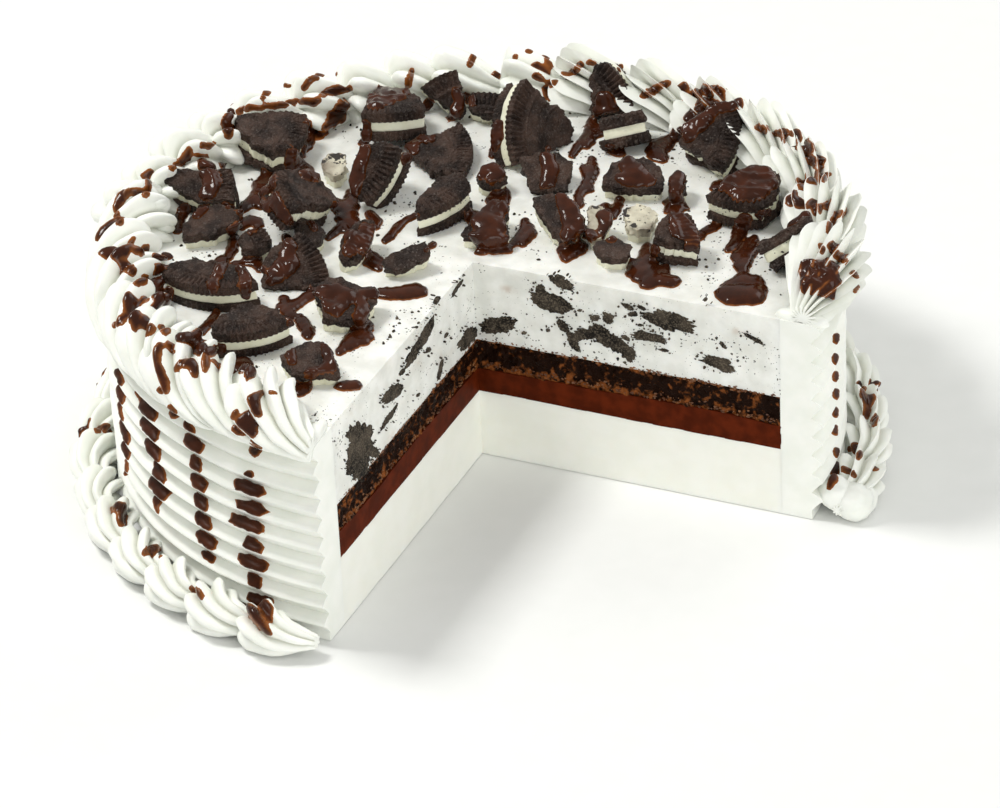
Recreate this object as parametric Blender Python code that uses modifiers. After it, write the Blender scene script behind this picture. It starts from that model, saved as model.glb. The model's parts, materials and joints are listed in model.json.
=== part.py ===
"""Ice cream cake with a quarter taken out, built as solids in metres, +Z up.

The origin is the cake's middle at its base. The missing quarter is x > 0, y < 0, so the two cut
faces are the planes x = 0 and y = 0. Sizes below are in millimetres; MM turns them into metres.
"""

import math

import bmesh
import bpy
from mathutils import Matrix, Vector

MM = 0.001
GAP = 0.3  # clearance between pieces that touch

# The cake's body
WALL_R = 100.0  # tips of the combed ridges
CORE_R = 88.0  # where the outer icing starts
CAKE_H = 60.8
VANILLA_TOP = 20.3
FUDGE_TOP = 27.7
CRUNCH_TOP = 36.8
TURN_STEPS = 60
TURN_START = 3.0  # degrees, so that no cut runs along a row of corners

# The combed ridges of the wall: each tooth drops gently outward, then steeply back in
TOOTH_PITCH = 5.8
TOOTH_DEPTH = 3.2
TOOTH_RISE = 2.2
TOP_VALLEY = 54.8
TEETH = 9

# Sandwich cookies
COOKIE_R = 22.2
WAFER = 3.0
FILLING = 2.6
FILLING_IN = 0.9
REST_Z = CAKE_H + GAP
ARC_STEP = 17.0

# Piped shells: azimuths in degrees, counter-clockwise from +X. Each lies along the rim like a
# drop, and its tail points to the nearer cut.
TOP_SHELLS = (
    7, 22, 36.5, 50.5, 63, 75, 88, 101, 114, 122, 130, 139, 149,
    158.5, 167, 176, 185, 195, 206, 216, 226.5, 236, 244.5, 253.5, 264,
)
BASE_SHELLS = tuple(5.0 + 9.3 * i for i in range(29))
TAILS_TURN = 190.0  # azimuth where the two rows meet, head to head

# A shell's spine: distance along the rim towards the tail, radius, height, half size there
LEFT_SPINE = (
    (-10.5, 91.5, 64.2, 0.0), (-8.3, 92.6, 64.4, 7.2), (-3.2, 95.0, 64.0, 10.6),
    (3.2, 97.6, 62.2, 9.7), (9.5, 99.6, 60.2, 6.2), (15.5, 100.2, 58.5, 0.0),
)
RIGHT_SPINE = (
    (-10.0, 95.5, 64.8, 0.0), (-8.0, 95.5, 64.6, 8.4), (-3.2, 95.5, 64.2, 11.2),
    (3.2, 95.1, 63.0, 9.6), (9.0, 94.5, 62.2, 6.0), (15.0, 93.5, 61.6, 0.0),
)
BASE_SPINE = (
    (-10.6, 104.6, 5.0, 0.0), (-7.2, 105.6, 5.6, 6.4), (-1.0, 106.6, 5.4, 7.5),
    (6.4, 104.8, 4.6, 4.9), (12.5, 102.9, 3.8, 0.0),
)
PHI_IN, PHI_OUT = -100.0, 125.0  # how far the ridges run round a shell, from its top
HEAD_TIPS = 1.6  # how far the ridges stand out at the head


class Chunk:
    """One broken piece of a sandwich cookie.

    at: the cookie's middle on its upper face; lean: tilt of that face from level, in degrees;
    toward: azimuth it tilts to; layers: 3 is wafer, filling, wafer, 2 is wafer and filling, 1 is a
    bare wafer; arc: the part of the rim that is left; breaks: the broken edge, as angle and radius
    round the cookie's middle. Angles are azimuths before the tilt.
    """

    def __init__(self, name, at, lean, toward, layers, arc, breaks):
        self.name = name
        self.at = at
        self.lean = lean
        self.toward = toward
        self.layers = layers
        self.arc = arc
        self.breaks = breaks

    def outline(self):
        points = []
        if self.arc:
            start, end = self.arc
            steps = max(2, round(abs(end - start) / ARC_STEP))
            for i in range(steps + 1):
                points.append((start + (end - start) * i / steps, COOKIE_R))
        points += self.breaks
        flat = [(r * math.cos(math.radians(a)), r * math.sin(math.radians(a))) for a, r in points]
        area = sum(p[0] * q[1] - p[1] * q[0] for p, q in zip(flat, flat[1:] + flat[:1]))
        return flat if area > 0 else flat[::-1]

    def pose(self):
        turn = Matrix.Rotation(math.radians(self.toward), 4, "Z")
        tilt = Matrix.Rotation(math.radians(self.lean), 4, "Y")
        back = Matrix.Rotation(math.radians(-self.toward), 4, "Z")
        return Matrix.Translation(Vector(self.at) * MM) @ turn @ tilt @ back


CHUNKS = (
    Chunk("cookie_01", (-87.9, 31.7, 73.0), 12, -14, 3, (37, -5),
          [(-26, 18.5), (-41, 7), (69, 2.5), (50, 10), (43, 17.5)]),
    Chunk("cookie_02", (-91.3, -7.8, 68.4), 20, -79, 3, (42, 13),
          [(8, 15.5), (18, 9.5), (74, 5), (106, 9), (76, 11), (53, 15.5)]),
    Chunk("cookie_03", (-71.8, -12.1, 67.0), 12, -64, 2, None,
          [(-137, 8.5), (180, 6), (130, 6), (92, 6.5), (59, 8), (42, 8.5), (12, 6.5), (-39, 5),
           (-94, 6.5), (-114, 10.5)]),
    Chunk("cookie_04", (-69.0, -29.7, 66.3), 10, -44, 2, (56, 39),
          [(32, 18), (32, 14), (52, 14), (61, 18)]),
    Chunk("cookie_05", (-58.6, -26.6, 70.9), 6, -94, 3, (-45, -112),
          [(-121, 22), (-128, 19.5), (-127, 15), (-120, 12), (-102, 10.5), (-72, 11), (-48, 14)]),
    Chunk("cookie_06", (-50.2, -35.0, 62.5), 30, -64, 1, (71, 23),
          [(19, 14), (24, 4), (84, 8.5), (83, 14.5), (77, 19)]),
    Chunk("cookie_07", (-47.1, -47.8, 71.6), 8, -49, 3, (-20, -78),
          [(-81, 16.5), (-68, 11), (-48, 9.5), (-26, 12.5), (-21, 16)]),
    Chunk("cookie_08", (-15.1, -67.6, 67.1), 14, -64, 2, None,
          [(-165, 8), (167, 6), (128, 5.5), (94, 6.5), (58, 6), (11, 6.5), (-18, 9), (-67, 6.5),
           (-110, 8.5)]),
    Chunk("cookie_09", (-18.7, -37.7, 67.5), 12, -44, 2, None,
          [(-175, 10), (152, 9.5), (119, 7), (75, 5.5), (54, 9), (13, 7.5), (-39, 8.5), (-69, 10),
           (-104, 10)]),
    Chunk("cookie_10", (-41.8, 8.8, 65.3), 34, 31, 3, (-154, -108),
          [(-114, 11.5), (-124, 4), (151, 3.5), (146, 8.5), (155, 13), (168, 16.5),
           (-172, 18.5)]),
    Chunk("cookie_11", (-44.2, -8.4, 66.5), 10, -64, 2, None,
          [(171, 4), (132, 5), (90, 5), (31, 3.5), (-26, 5), (-75, 5.5), (-112, 4.5)]),
    Chunk("cookie_12", (-46.8, -12.1, 72.3), 20, -34, 2, (28, -10),
          [(-19, 20), (-16, 16.5), (2, 14), (24, 16), (31, 19)]),
    Chunk("cookie_13", (-13.6, -11.9, 66.3), 28, -64, 2, None,
          [(-147, 6.5), (-178, 4), (109, 3.5), (70, 6.5), (45, 7), (16, 5), (-37, 3), (-98, 4.5),
           (-123, 6.5)]),
    Chunk("cookie_14", (-54.1, 28.1, 66.4), 8, -64, 2, None,
          [(174, 4), (129, 5.5), (91, 5), (28, 4), (-34, 5), (-70, 5.5), (-115, 4)]),
    Chunk("cookie_15", (-56.9, 67.9, 69.2), 10, 111, 3, (-35, -83),
          [(-91, 12), (-131, 4.5), (45, 1), (8, 7), (-20, 13.5)]),
    Chunk("cookie_16", (-53.7, 25.2, 73.7), 50, -104, 3, (0, -48),
          [(-54, 17), (-38, 11), (-12, 8.5), (4, 11.5), (5, 17)]),
    Chunk("cookie_17", (-42.5, 41.6, 65.4), 10, -64, 1, (58, -3),
          [(-17, 16), (-5, 8.5), (65, 5), (64, 9.5), (53, 15)]),
    Chunk("cookie_18", (-29.2, 66.7, 57.2), 48, -54, 2, (160, 131),
          [(128, 14.5), (130, 9.5), (148, 8), (154, 13), (159, 18)]),
    Chunk("cookie_19", (-23.4, 57.5, 59.6), 24, -64, 2, (120, 89),
          [(88, 18), (97, 14.5), (113, 14.5), (123, 17)]),
    Chunk("cookie_20", (-1.3, 69.4, 61.8), 62, -14, 3, (-110, -180),
          [(171, 13), (151, 9), (122, 5.5), (100, 3.5), (-58, 1), (-107, 6.5), (-115, 14)]),
    Chunk("cookie_21", (2.7, 45.1, 65.4), 28, -64, 1, None,
          [(167, 9), (131, 7), (93, 7), (50, 7.5), (4, 6.5), (-23, 7.5), (-74, 6.5), (-103, 7.5),
           (-148, 6.5)]),
    Chunk("cookie_22", (-33.0, 23.8, 70.6), 6, -84, 3, (-52, 0),
          [(15, 17.5), (8, 14.5), (-4, 12.5), (-21, 13), (-36, 13.5), (-47, 17.5)]),
    Chunk("cookie_23", (-0.1, 11.9, 66.9), 12, -64, 2, None,
          [(-130, 8), (-165, 4.5), (130, 5.5), (101, 10), (71, 7.5), (17, 4.5), (-19, 7.5),
           (-64, 6.5), (-98, 7.5)]),
    Chunk("cookie_24", (-9.0, 81.5, 59.1), 62, -89, 3, (64, 22),
          [(22, 16.5), (22, 9.5), (55, 12), (71, 18.5)]),
    Chunk("cookie_25", (6.3, 89.4, 61.7), 28, 136, 3, (-48, -82),
          [(-88, 15), (-62, 10.5), (-42, 15)]),
    Chunk("cookie_26", (27.0, 48.8, 67.1), 16, -64, 2, None,
          [(-159, 8.5), (162, 7.5), (121, 7.5), (75, 7.5), (44, 8), (6, 8.5), (-12, 9), (-52, 6),
           (-115, 7), (-135, 9)]),
    Chunk("cookie_27", (26.8, 69.6, 70.0), 34, -89, 3, (36, -24),
          [(-24, 14.5), (-27, 6), (12, 5.5), (36, 9), (40, 13.5), (38, 18)]),
    Chunk("cookie_28", (59.0, 60.0, 73.4), 10, -64, 3, (-107, -66),
          [(-49, 16.5), (-33, 10), (-36, 5.5), (-78, 5), (-105, 10.5), (-108, 17)]),
    Chunk("cookie_29", (17.1, 20.1, 68.2), 18, -64, 2, None,
          [(163, 9), (135, 8), (102, 7.5), (53, 6), (-4, 7.5), (-37, 9), (-62, 9), (-97, 5),
           (-164, 6)]),
    Chunk("cookie_30", (37.4, 28.2, 66.6), 10, -64, 2, None,
          [(155, 6), (114, 6), (74, 5.5), (10, 4), (-40, 5.5), (-80, 6), (-121, 5.5)]),
    Chunk("cookie_31", (38.9, 8.8, 71.1), 18, -44, 3, (50, 20),
          [(22, 13.5), (31, 10), (55, 12.5), (61, 17)]),
    Chunk("cookie_32", (35.9, 11.1, 66.3), 12, -64, 2, None,
          [(174, 5), (137, 4), (78, 4), (31, 4.5), (7, 5), (-26, 4.5), (-72, 3.5), (-124, 3.5),
           (-163, 4.5)]),
    Chunk("cookie_33", (78.1, 29.0, 70.0), 40, 160, 3, None,
          [(60, 9), (30, 7.2), (-8, 9.6), (-40, 5.8), (-64, 5), (-90, 5.8), (-120, 9.2),
           (-155, 7.4), (172, 9), (140, 6), (100, 5.5)]),
    Chunk("cookie_34", (-10.7, 36.7, 66.5), 14, -64, 2, None,
          [(-140, 4.5), (161, 3), (99, 5), (33, 4.5), (-20, 3.5), (-84, 4)]),
    Chunk("cookie_35", (27.8, 22.3, 67.0), 14, -64, 2, None,
          [(144, 6.5), (111, 6.5), (66, 4), (-17, 3.5), (-66, 6), (-90, 6.5)]),
    Chunk("cookie_36", (39.8, 49.5, 66.4), 10, -64, 2, None,
          [(168, 3), (121, 5), (85, 4), (-6, 3), (-53, 4.5), (-94, 5)]),
)
DEEP_IN_BORDER = (
    "cookie_01", "cookie_02", "cookie_05", "cookie_07", "cookie_15", "cookie_18",
    "cookie_19", "cookie_24", "cookie_27", "cookie_28", "cookie_33",
)

# Pools of thick sauce on the top: x, y, length, width, height, azimuth of the long side
POOLS = (
    (47.5, 8.0, 15.0, 11.0, 2.0, 20.0),
    (70.3, 10.2, 15.0, 11.5, 2.2, 8.0),
    (-9.0, -22.2, 15.0, 7.0, 2.0, 14.0),
    (-30.8, -69.2, 8.0, 5.0, 1.6, 25.0),
    (26.5, 8.0, 8.0, 6.0, 1.8, 0.0),
    (-26.2, 8.5, 10.0, 4.2, 1.8, 80.0),
    (7.4, 15.6, 6.5, 4.0, 1.6, 110.0),
    (13.3, 44.0, 6.0, 4.4, 1.5, 60.0),
    (55.0, 34.0, 8.0, 5.0, 1.7, 20.0),
)


def clear_scene():
    for obj in list(bpy.data.objects):
        bpy.data.objects.remove(obj, do_unlink=True)


def make_material(name, color, roughness):
    mat = bpy.data.materials.new(name)
    mat.use_nodes = True
    shader = mat.node_tree.nodes["Principled BSDF"]
    shader.inputs["Base Color"].default_value = (*color, 1.0)
    shader.inputs["Roughness"].default_value = roughness
    return mat


def make_collection(name, hidden=False):
    found = bpy.data.collections.new(name)
    bpy.context.scene.collection.children.link(found)
    found.hide_render = hidden
    return found


def add_object(name, bm, collection, mat=None):
    """Puts the finished bmesh in a new object of this collection."""
    bmesh.ops.recalc_face_normals(bm, faces=bm.faces)
    mesh = bpy.data.meshes.new(name)
    bm.to_mesh(mesh)
    bm.free()
    obj = bpy.data.objects.new(name, mesh)
    collection.objects.link(obj)
    if mat is not None:
        mesh.materials.append(mat)
    else:
        obj.hide_render = True
        obj.display_type = "WIRE"
    return obj


def turned(name, profile, closed, collection, mat=None):
    """Turns a profile of (radius, height) round Z; it runs down the outer side."""
    bm = bmesh.new()
    start = math.radians(TURN_START)
    across, along = MM * math.cos(start), MM * math.sin(start)
    verts = [bm.verts.new((r * across, r * along, z * MM)) for r, z in profile]
    for a, b in zip(verts, verts[1:]):
        bm.edges.new((a, b))
    if closed:
        bm.edges.new((verts[-1], verts[0]))
    obj = add_object(name, bm, collection, mat)
    turn = obj.modifiers.new("turn", "SCREW")
    turn.angle = math.radians(360.0)
    turn.steps = turn.render_steps = TURN_STEPS
    turn.use_merge_vertices = True
    turn.merge_threshold = 0.00001
    return obj


def cut(obj, cutter, solver="EXACT"):
    boolean = obj.modifiers.new("less_" + cutter.name, "BOOLEAN")
    boolean.operation = "DIFFERENCE"
    boolean.object = cutter
    boolean.solver = solver


def fuse(obj, collection, solver="EXACT"):
    """Joins the collection's objects to obj for good, then removes them."""
    boolean = obj.modifiers.new("with_" + collection.name, "BOOLEAN")
    boolean.operation = "UNION"
    boolean.operand_type = "COLLECTION"
    boolean.collection = collection
    boolean.solver = solver
    graph = bpy.context.evaluated_depsgraph_get()
    joined = bpy.data.meshes.new_from_object(obj.evaluated_get(graph))
    obj.modifiers.clear()
    obj.data = joined
    for part in list(collection.objects):
        bpy.data.objects.remove(part, do_unlink=True)
    bpy.data.collections.remove(collection)


def box(name, low, high, collection):
    bm = bmesh.new()
    size = [(h - l) * MM for l, h in zip(low, high)]
    middle = [(h + l) / 2 * MM for l, h in zip(low, high)]
    place = Matrix.Translation(middle) @ Matrix.Diagonal((*size, 1.0))
    bmesh.ops.create_cube(bm, size=1.0, matrix=place)
    return add_object(name, bm, collection)


def disc(name, radius, low, high, collection, mat=None):
    profile = [(0, high), (radius, high), (radius, low), (0, low)]
    return turned(name, profile, False, collection, mat)


def wall_profile():
    """Down the combed outer face from the top edge, and back up the plain inner face."""
    points = [
        (CORE_R + GAP, CAKE_H),
        (WALL_R - TOOTH_DEPTH * 0.6, CAKE_H),
        (WALL_R - 0.4, TOP_VALLEY + TOOTH_PITCH - TOOTH_RISE),
    ]
    for i in range(TEETH):
        valley = TOP_VALLEY - TOOTH_PITCH * i
        points.append((WALL_R - TOOTH_DEPTH, valley))
        points.append((WALL_R, valley - TOOTH_RISE))
    points += [(WALL_R - TOOTH_DEPTH, 1.5), (WALL_R - TOOTH_DEPTH, 0.0), (CORE_R + GAP, 0.0)]
    return points


def loft(bm, rings, tip_start, tip_end):
    """Skins closed rings of points into one closed body between two tip points."""
    made = [[bm.verts.new(p) for p in ring] for ring in rings]
    first, last = bm.verts.new(tip_start), bm.verts.new(tip_end)
    count = len(made[0])
    for i in range(count):
        k = (i + 1) % count
        bm.faces.new((first, made[0][k], made[0][i]))
        bm.faces.new((last, made[-1][i], made[-1][k]))
        for a, b in zip(made, made[1:]):
            bm.faces.new((a[i], a[k], b[k], b[i]))


def shell_body(spine, azimuth, heading, ridges, depth, size, width):
    """One piped shell: ridged sections strung along its spine, from the fat head to the tail."""
    bm = bmesh.new()
    foot = spine[0][2]

    def place(along, r, z):
        angle = math.radians(azimuth) + heading * width * along / spine[2][1]
        return Vector((r * math.cos(angle), r * math.sin(angle), z)) * MM

    count = 2 * ridges - 1
    rings = []
    for k, (along, r, z, half) in enumerate(spine[1:-1]):
        half *= size
        z = foot + (z - foot) * size
        ring = []
        for i in range(count):
            phi = math.radians(PHI_IN + (PHI_OUT - PHI_IN) * i / (count - 1))
            crest = i % 2 == 0
            reach = half * (1.0 if crest else 1.0 - depth)
            back = HEAD_TIPS if crest and k == 0 else 0.0
            ring.append(place(along - back, r + reach * math.sin(phi), z + reach * math.cos(phi)))
        for phi in (165.0, -145.0):
            reach, phi = 0.8 * half, math.radians(phi)
            ring.append(place(along, r + reach * math.sin(phi), z + reach * math.cos(phi)))
        rings.append(ring)
    loft(bm, rings, place(*spine[0][:3]), place(*spine[-1][:3]))
    return bm


def piped_border(name, azimuths, spines, ridges, depth, mat, cake, cutters):
    """A row of overlapping shells joined into one body. spines are the left and the right one."""
    rest = bpy.data.collections.new(name + "_shells")
    cutters.children.link(rest)
    first = None
    for i, azimuth in enumerate(azimuths):
        before = azimuths[max(i - 1, 0)]
        after = azimuths[min(i + 1, len(azimuths) - 1)]
        spacing = (after - before) / (2.0 if 0 < i < len(azimuths) - 1 else 1.0)
        left = azimuth > TAILS_TURN
        width = 0.5 + 0.5 * spacing / 9.5
        size = 1.0 + 0.045 * math.sin(2.4 * i)
        bm = shell_body(spines[not left], azimuth, 1 if left else -1, ridges, depth, size, width)
        if first is None:
            first = add_object(name, bm, cake, mat)
        else:
            add_object("%s_shell_%02d" % (name, i), bm, rest)
    fuse(first, rest, "MANIFOLD")
    return first


def chunk_body(chunk, grow=0.0):
    """The chunk's layers from its face down; the filling is set in from the wafers' edges."""
    bm = bmesh.new()
    outline = chunk.outline()
    mx = sum(p[0] for p in outline) / len(outline)
    my = sum(p[1] for p in outline) / len(outline)
    thick = {1: WAFER, 2: WAFER + FILLING, 3: 2 * WAFER + FILLING}[chunk.layers]
    if grow:
        levels = [(grow, -grow), (-thick - 3.0, -grow)]
    else:
        levels = [(0.0, 0.0), (-WAFER, 0.0)]
        if chunk.layers > 1:
            levels += [(-WAFER, FILLING_IN), (-WAFER - FILLING, FILLING_IN)]
        if chunk.layers > 2:
            levels += [(-WAFER - FILLING, 0.0), (-thick, 0.0)]
    rings = []
    for z, inset in levels:
        ring = []
        for x, y in outline:
            far = math.hypot(x - mx, y - my)
            scale = (far - inset) / far
            ring.append(bm.verts.new(Vector((mx + (x - mx) * scale, my + (y - my) * scale, z)) * MM))
        rings.append(ring)
    count = len(outline)
    bm.faces.new(rings[0])
    bm.faces.new(rings[-1][::-1])
    for a, b in zip(rings, rings[1:]):
        for i in range(count):
            k = (i + 1) % count
            bm.faces.new((a[i], b[i], b[k], a[k]))
    bmesh.ops.transform(bm, matrix=chunk.pose(), verts=bm.verts)
    return bm


def pool_body(x, y, length, width, height, azimuth):
    """A low dome of sauce with its foot under the top surface."""
    bm = bmesh.new()
    bmesh.ops.create_uvsphere(bm, u_segments=10, v_segments=6, radius=1.0)
    shape = Matrix.Diagonal((length / 2 * MM, width / 2 * MM, height * MM, 1.0))
    place = Matrix.Translation(Vector((x, y, CAKE_H - 0.2)) * MM)
    place @= Matrix.Rotation(math.radians(azimuth), 4, "Z")
    bmesh.ops.transform(bm, matrix=place @ shape, verts=bm.verts)
    return bm


def build():
    clear_scene()
    cake = make_collection("ice_cream_cake")
    cutters = make_collection("cutters", hidden=True)
    icing = make_material("icing", (0.86, 0.88, 0.85), 0.45)
    vanilla = make_material("vanilla", (0.87, 0.87, 0.81), 0.5)
    fudge = make_material("fudge", (0.12, 0.035, 0.018), 0.25)
    crunch = make_material("crunch", (0.055, 0.028, 0.018), 0.7)
    ice_cream = make_material("cookie_ice_cream", (0.78, 0.79, 0.76), 0.5)
    wafer = make_material("cookie", (0.035, 0.024, 0.02), 0.75)

    slice_out = box("missing_quarter", (0, -140, -10), (140, 0, 120), cutters)
    under_rest = box("under_rest", (-130, -130, 30), (130, 130, REST_Z), cutters)
    under_top = disc("under_top", WALL_R + GAP, 30.0, REST_Z, cutters)
    inside_base = disc("inside_base", WALL_R + GAP, -10.0, 40.0, cutters)
    under_base = box("under_base", (-130, -130, -20), (130, 130, 0), cutters)

    body = [
        disc("vanilla_layer", CORE_R, 0.0, VANILLA_TOP - GAP, cake, vanilla),
        disc("fudge_layer", CORE_R, VANILLA_TOP, FUDGE_TOP - GAP, cake, fudge),
        disc("crunch_layer", CORE_R, FUDGE_TOP, CRUNCH_TOP - GAP, cake, crunch),
        disc("ice_cream_layer", CORE_R, CRUNCH_TOP, CAKE_H, cake, ice_cream),
        turned("icing_wall", wall_profile(), True, cake, icing),
    ]
    pools = bpy.data.collections.new("pools")
    cutters.children.link(pools)
    for i, pool in enumerate(POOLS):
        add_object("pool_%d" % (i + 1), pool_body(*pool), pools)
    fuse(body[3], pools)
    for piece in body:
        cut(piece, slice_out)

    spines = (LEFT_SPINE, RIGHT_SPINE)
    top = piped_border("top_border", TOP_SHELLS, spines, 5, 0.2, icing, cake, cutters)
    cut(top, under_top, "MANIFOLD")
    cut(top, slice_out, "MANIFOLD")
    spines = (BASE_SPINE, BASE_SPINE)
    base = piped_border("base_border", BASE_SHELLS, spines, 4, 0.22, icing, cake, cutters)
    cut(base, inside_base, "MANIFOLD")
    cut(base, under_base, "MANIFOLD")
    cut(base, slice_out, "MANIFOLD")

    for chunk in CHUNKS:
        piece = add_object(chunk.name, chunk_body(chunk), cake, wafer)
        cut(piece, under_rest)
        if chunk.name in DEEP_IN_BORDER:
            room = add_object("room_for_" + chunk.name, chunk_body(chunk, 0.4), cutters)
            cut(top, room, "MANIFOLD")


build()
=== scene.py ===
"""Looks of an ice cream cake with a quarter taken out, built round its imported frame.

Sizes are in millimetres in the cake's own frame, +Z up, and become metres where a mesh is made.
The missing quarter is x > 0, y < 0, so the two cut faces are the planes x = 0 and y = 0.
"""

import itertools
import json
import logging
import math
from dataclasses import dataclass, field
from enum import Enum

import bmesh
import bpy
import numpy as np
from mathutils import Matrix, Vector
from mathutils.bvhtree import BVHTree

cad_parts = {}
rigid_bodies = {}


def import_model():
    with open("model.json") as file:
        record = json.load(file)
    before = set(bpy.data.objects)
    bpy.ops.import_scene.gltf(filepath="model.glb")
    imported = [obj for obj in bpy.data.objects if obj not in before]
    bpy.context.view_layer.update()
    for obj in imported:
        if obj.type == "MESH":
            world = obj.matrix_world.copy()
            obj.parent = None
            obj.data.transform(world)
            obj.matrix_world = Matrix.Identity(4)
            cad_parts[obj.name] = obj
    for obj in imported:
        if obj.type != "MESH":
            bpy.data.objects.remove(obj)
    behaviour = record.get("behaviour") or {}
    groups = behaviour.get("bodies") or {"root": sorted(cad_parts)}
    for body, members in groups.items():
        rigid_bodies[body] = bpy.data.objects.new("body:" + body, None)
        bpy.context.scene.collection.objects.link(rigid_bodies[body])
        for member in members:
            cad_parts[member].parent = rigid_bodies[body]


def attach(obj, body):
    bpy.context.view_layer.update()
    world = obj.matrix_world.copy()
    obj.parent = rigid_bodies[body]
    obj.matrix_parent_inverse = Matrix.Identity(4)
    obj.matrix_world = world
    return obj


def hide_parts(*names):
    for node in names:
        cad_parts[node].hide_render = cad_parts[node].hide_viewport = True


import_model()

MM = 0.001
LEFT_OVER = 270.0  # degrees of the cake that are left
LOG = logging.getLogger("ice_cream_cake")

# Large odd numbers that turn the place of a cell into a random number
SCRAMBLE = (73856093, 19349663, 83492791, 1274126177, 668265263)


class Side(Enum):
    """The two cut faces, by the plane each lies in."""

    LEFT = "x"
    RIGHT = "y"


# Numbers that vary over space


def drift(points: np.ndarray, size: float, seed: int = 0) -> np.ndarray:
    """Smooth random numbers over space.

    Args:
        points: one row of x, y, z for each place.
        size: distance over which the numbers change.
        seed: picks another pattern.

    Returns:
        One number from -1 to 1 for each place.
    """
    place = points / size + 31.7 * seed + 0.37
    cell = np.floor(place).astype(np.int64)
    part = place - cell
    part = part * part * (3.0 - 2.0 * part)
    total = np.zeros(len(points))
    for corner in itertools.product((0, 1), repeat=3):
        at = cell + np.array(corner)
        mixed = (at[:, 0] * SCRAMBLE[0]) ^ (at[:, 1] * SCRAMBLE[1]) ^ (at[:, 2] * SCRAMBLE[2])
        mixed = ((mixed ^ (mixed >> 13)) * SCRAMBLE[3]) & 0x7FFFFFFF
        mixed = ((mixed ^ (mixed >> 11)) * SCRAMBLE[4]) & 0x7FFFFFFF
        weight = np.prod(np.where(np.array(corner) == 1, part, 1.0 - part), axis=1)
        total += weight * (mixed / 0x3FFFFFFF - 1.0)
    return total


def rough(points: np.ndarray, size: float, layers: int = 3, seed: int = 0) -> np.ndarray:
    """Several layers of drift, each half the size and half as strong as the one before.

    Args:
        points: one row of x, y, z for each place.
        size: distance over which the coarsest layer changes.
        layers: how many layers are added up.
        seed: picks another pattern.

    Returns:
        One number from about -1 to 1 for each place.
    """
    total = np.zeros(len(points))
    for i in range(layers):
        total += drift(points, size / 2**i, seed + 7 * i) / 2**i
    return total / 1.6


def turned(radius: np.ndarray, azimuth: np.ndarray, height: np.ndarray) -> np.ndarray:
    """Points from radius, azimuth in degrees and height, which share one shape."""
    angle = np.radians(azimuth)
    return np.stack([radius * np.cos(angle), radius * np.sin(angle), height], axis=-1)


# Node trees


class NodeWork:
    """Short calls that build one node tree."""

    def __init__(self, tree: bpy.types.NodeTree) -> None:
        """Starts on an empty tree."""
        self.tree = tree

    def add(self, kind: str, ins: dict | None = None, **settings: object) -> bpy.types.Node:
        """Adds a node.

        Args:
            kind: the node's type name.
            ins: values or sockets for its inputs, by input name or number.
            settings: other properties of the node.

        Returns:
            The node.
        """
        node = self.tree.nodes.new(kind)
        for name, value in settings.items():
            setattr(node, name, value)
        for name, value in (ins or {}).items():
            if isinstance(value, bpy.types.NodeSocket):
                self.tree.links.new(value, node.inputs[name])
            elif value is not None:
                node.inputs[name].default_value = value
        return node

    def noise(self, at: object, scale: object, detail: float) -> bpy.types.Node:
        """Adds a noise texture."""
        return self.add("ShaderNodeTexNoise", {"Vector": at, "Scale": scale, "Detail": detail})

    def cells(self, at: object, scale: object) -> bpy.types.Node:
        """Adds a texture of round cells."""
        return self.add("ShaderNodeTexVoronoi", {"Vector": at, "Scale": scale})

    def here(self) -> bpy.types.NodeSocket:
        """The place on the object, in metres."""
        return self.add("ShaderNodeTexCoord").outputs["Object"]

    def marked(self, name: str) -> bpy.types.NodeSocket:
        """A number stored on the mesh."""
        return self.add("ShaderNodeAttribute", attribute_name=name).outputs["Fac"]

    def parts(self, color: object) -> bpy.types.NodeOutputs:
        """The three numbers of a colour."""
        return self.add("ShaderNodeSeparateColor", {"Color": color}).outputs

    def math(self, operation: str, *values: object) -> bpy.types.NodeSocket:
        """One sum on numbers or sockets; returns its output."""
        kind = "ShaderNodeMath"
        return self.add(kind, dict(enumerate(values)), operation=operation).outputs[0]

    def vector(self, operation: str, *values: object) -> bpy.types.NodeSocket:
        """One vector sum; returns its output."""
        kind = "ShaderNodeVectorMath"
        return self.add(kind, dict(enumerate(values)), operation=operation).outputs[0]

    def scaled(self, vector: object, factor: object) -> bpy.types.NodeSocket:
        """A vector times a number."""
        ins = {0: vector, 3: factor}
        return self.add("ShaderNodeVectorMath", ins, operation="SCALE").outputs[0]

    def blend(self, share: object, first: object, second: object) -> bpy.types.NodeSocket:
        """Mixes two colours; returns the mixed one."""
        node = self.add("ShaderNodeMix", data_type="RGBA", clamp_factor=True)
        for name, value in (("Factor_Float", share), ("A_Color", first), ("B_Color", second)):
            socket = next(s for s in node.inputs if s.identifier == name)
            if isinstance(value, bpy.types.NodeSocket):
                self.tree.links.new(value, socket)
            else:
                socket.default_value = value if name == "Factor_Float" else (*value, 1.0)
        return next(s for s in node.outputs if s.identifier == "Result_Color")

    def span(self, value: object, low: float, high: float) -> bpy.types.NodeSocket:
        """Maps a value to 0 at low and 1 at high, smoothly, and holds it beyond."""
        ins = {"Value": value, "From Min": low, "From Max": high}
        kind = "ShaderNodeMapRange"
        return self.add(kind, ins, interpolation_type="SMOOTHSTEP").outputs["Result"]


def shader_group(name: str, ins: dict[str, float], outs: tuple[str, ...]) -> NodeWork:
    """Starts a shader group with named number sockets.

    Args:
        name: the group's name.
        ins: input names with their usual values.
        outs: output names.

    Returns:
        The work on the group.
    """
    group = bpy.data.node_groups.new(name, "ShaderNodeTree")
    for socket, value in ins.items():
        made = group.interface.new_socket(socket, in_out="INPUT", socket_type="NodeSocketFloat")
        made.default_value = value
    for socket in outs:
        group.interface.new_socket(socket, in_out="OUTPUT", socket_type="NodeSocketFloat")
    return NodeWork(group)


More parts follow.
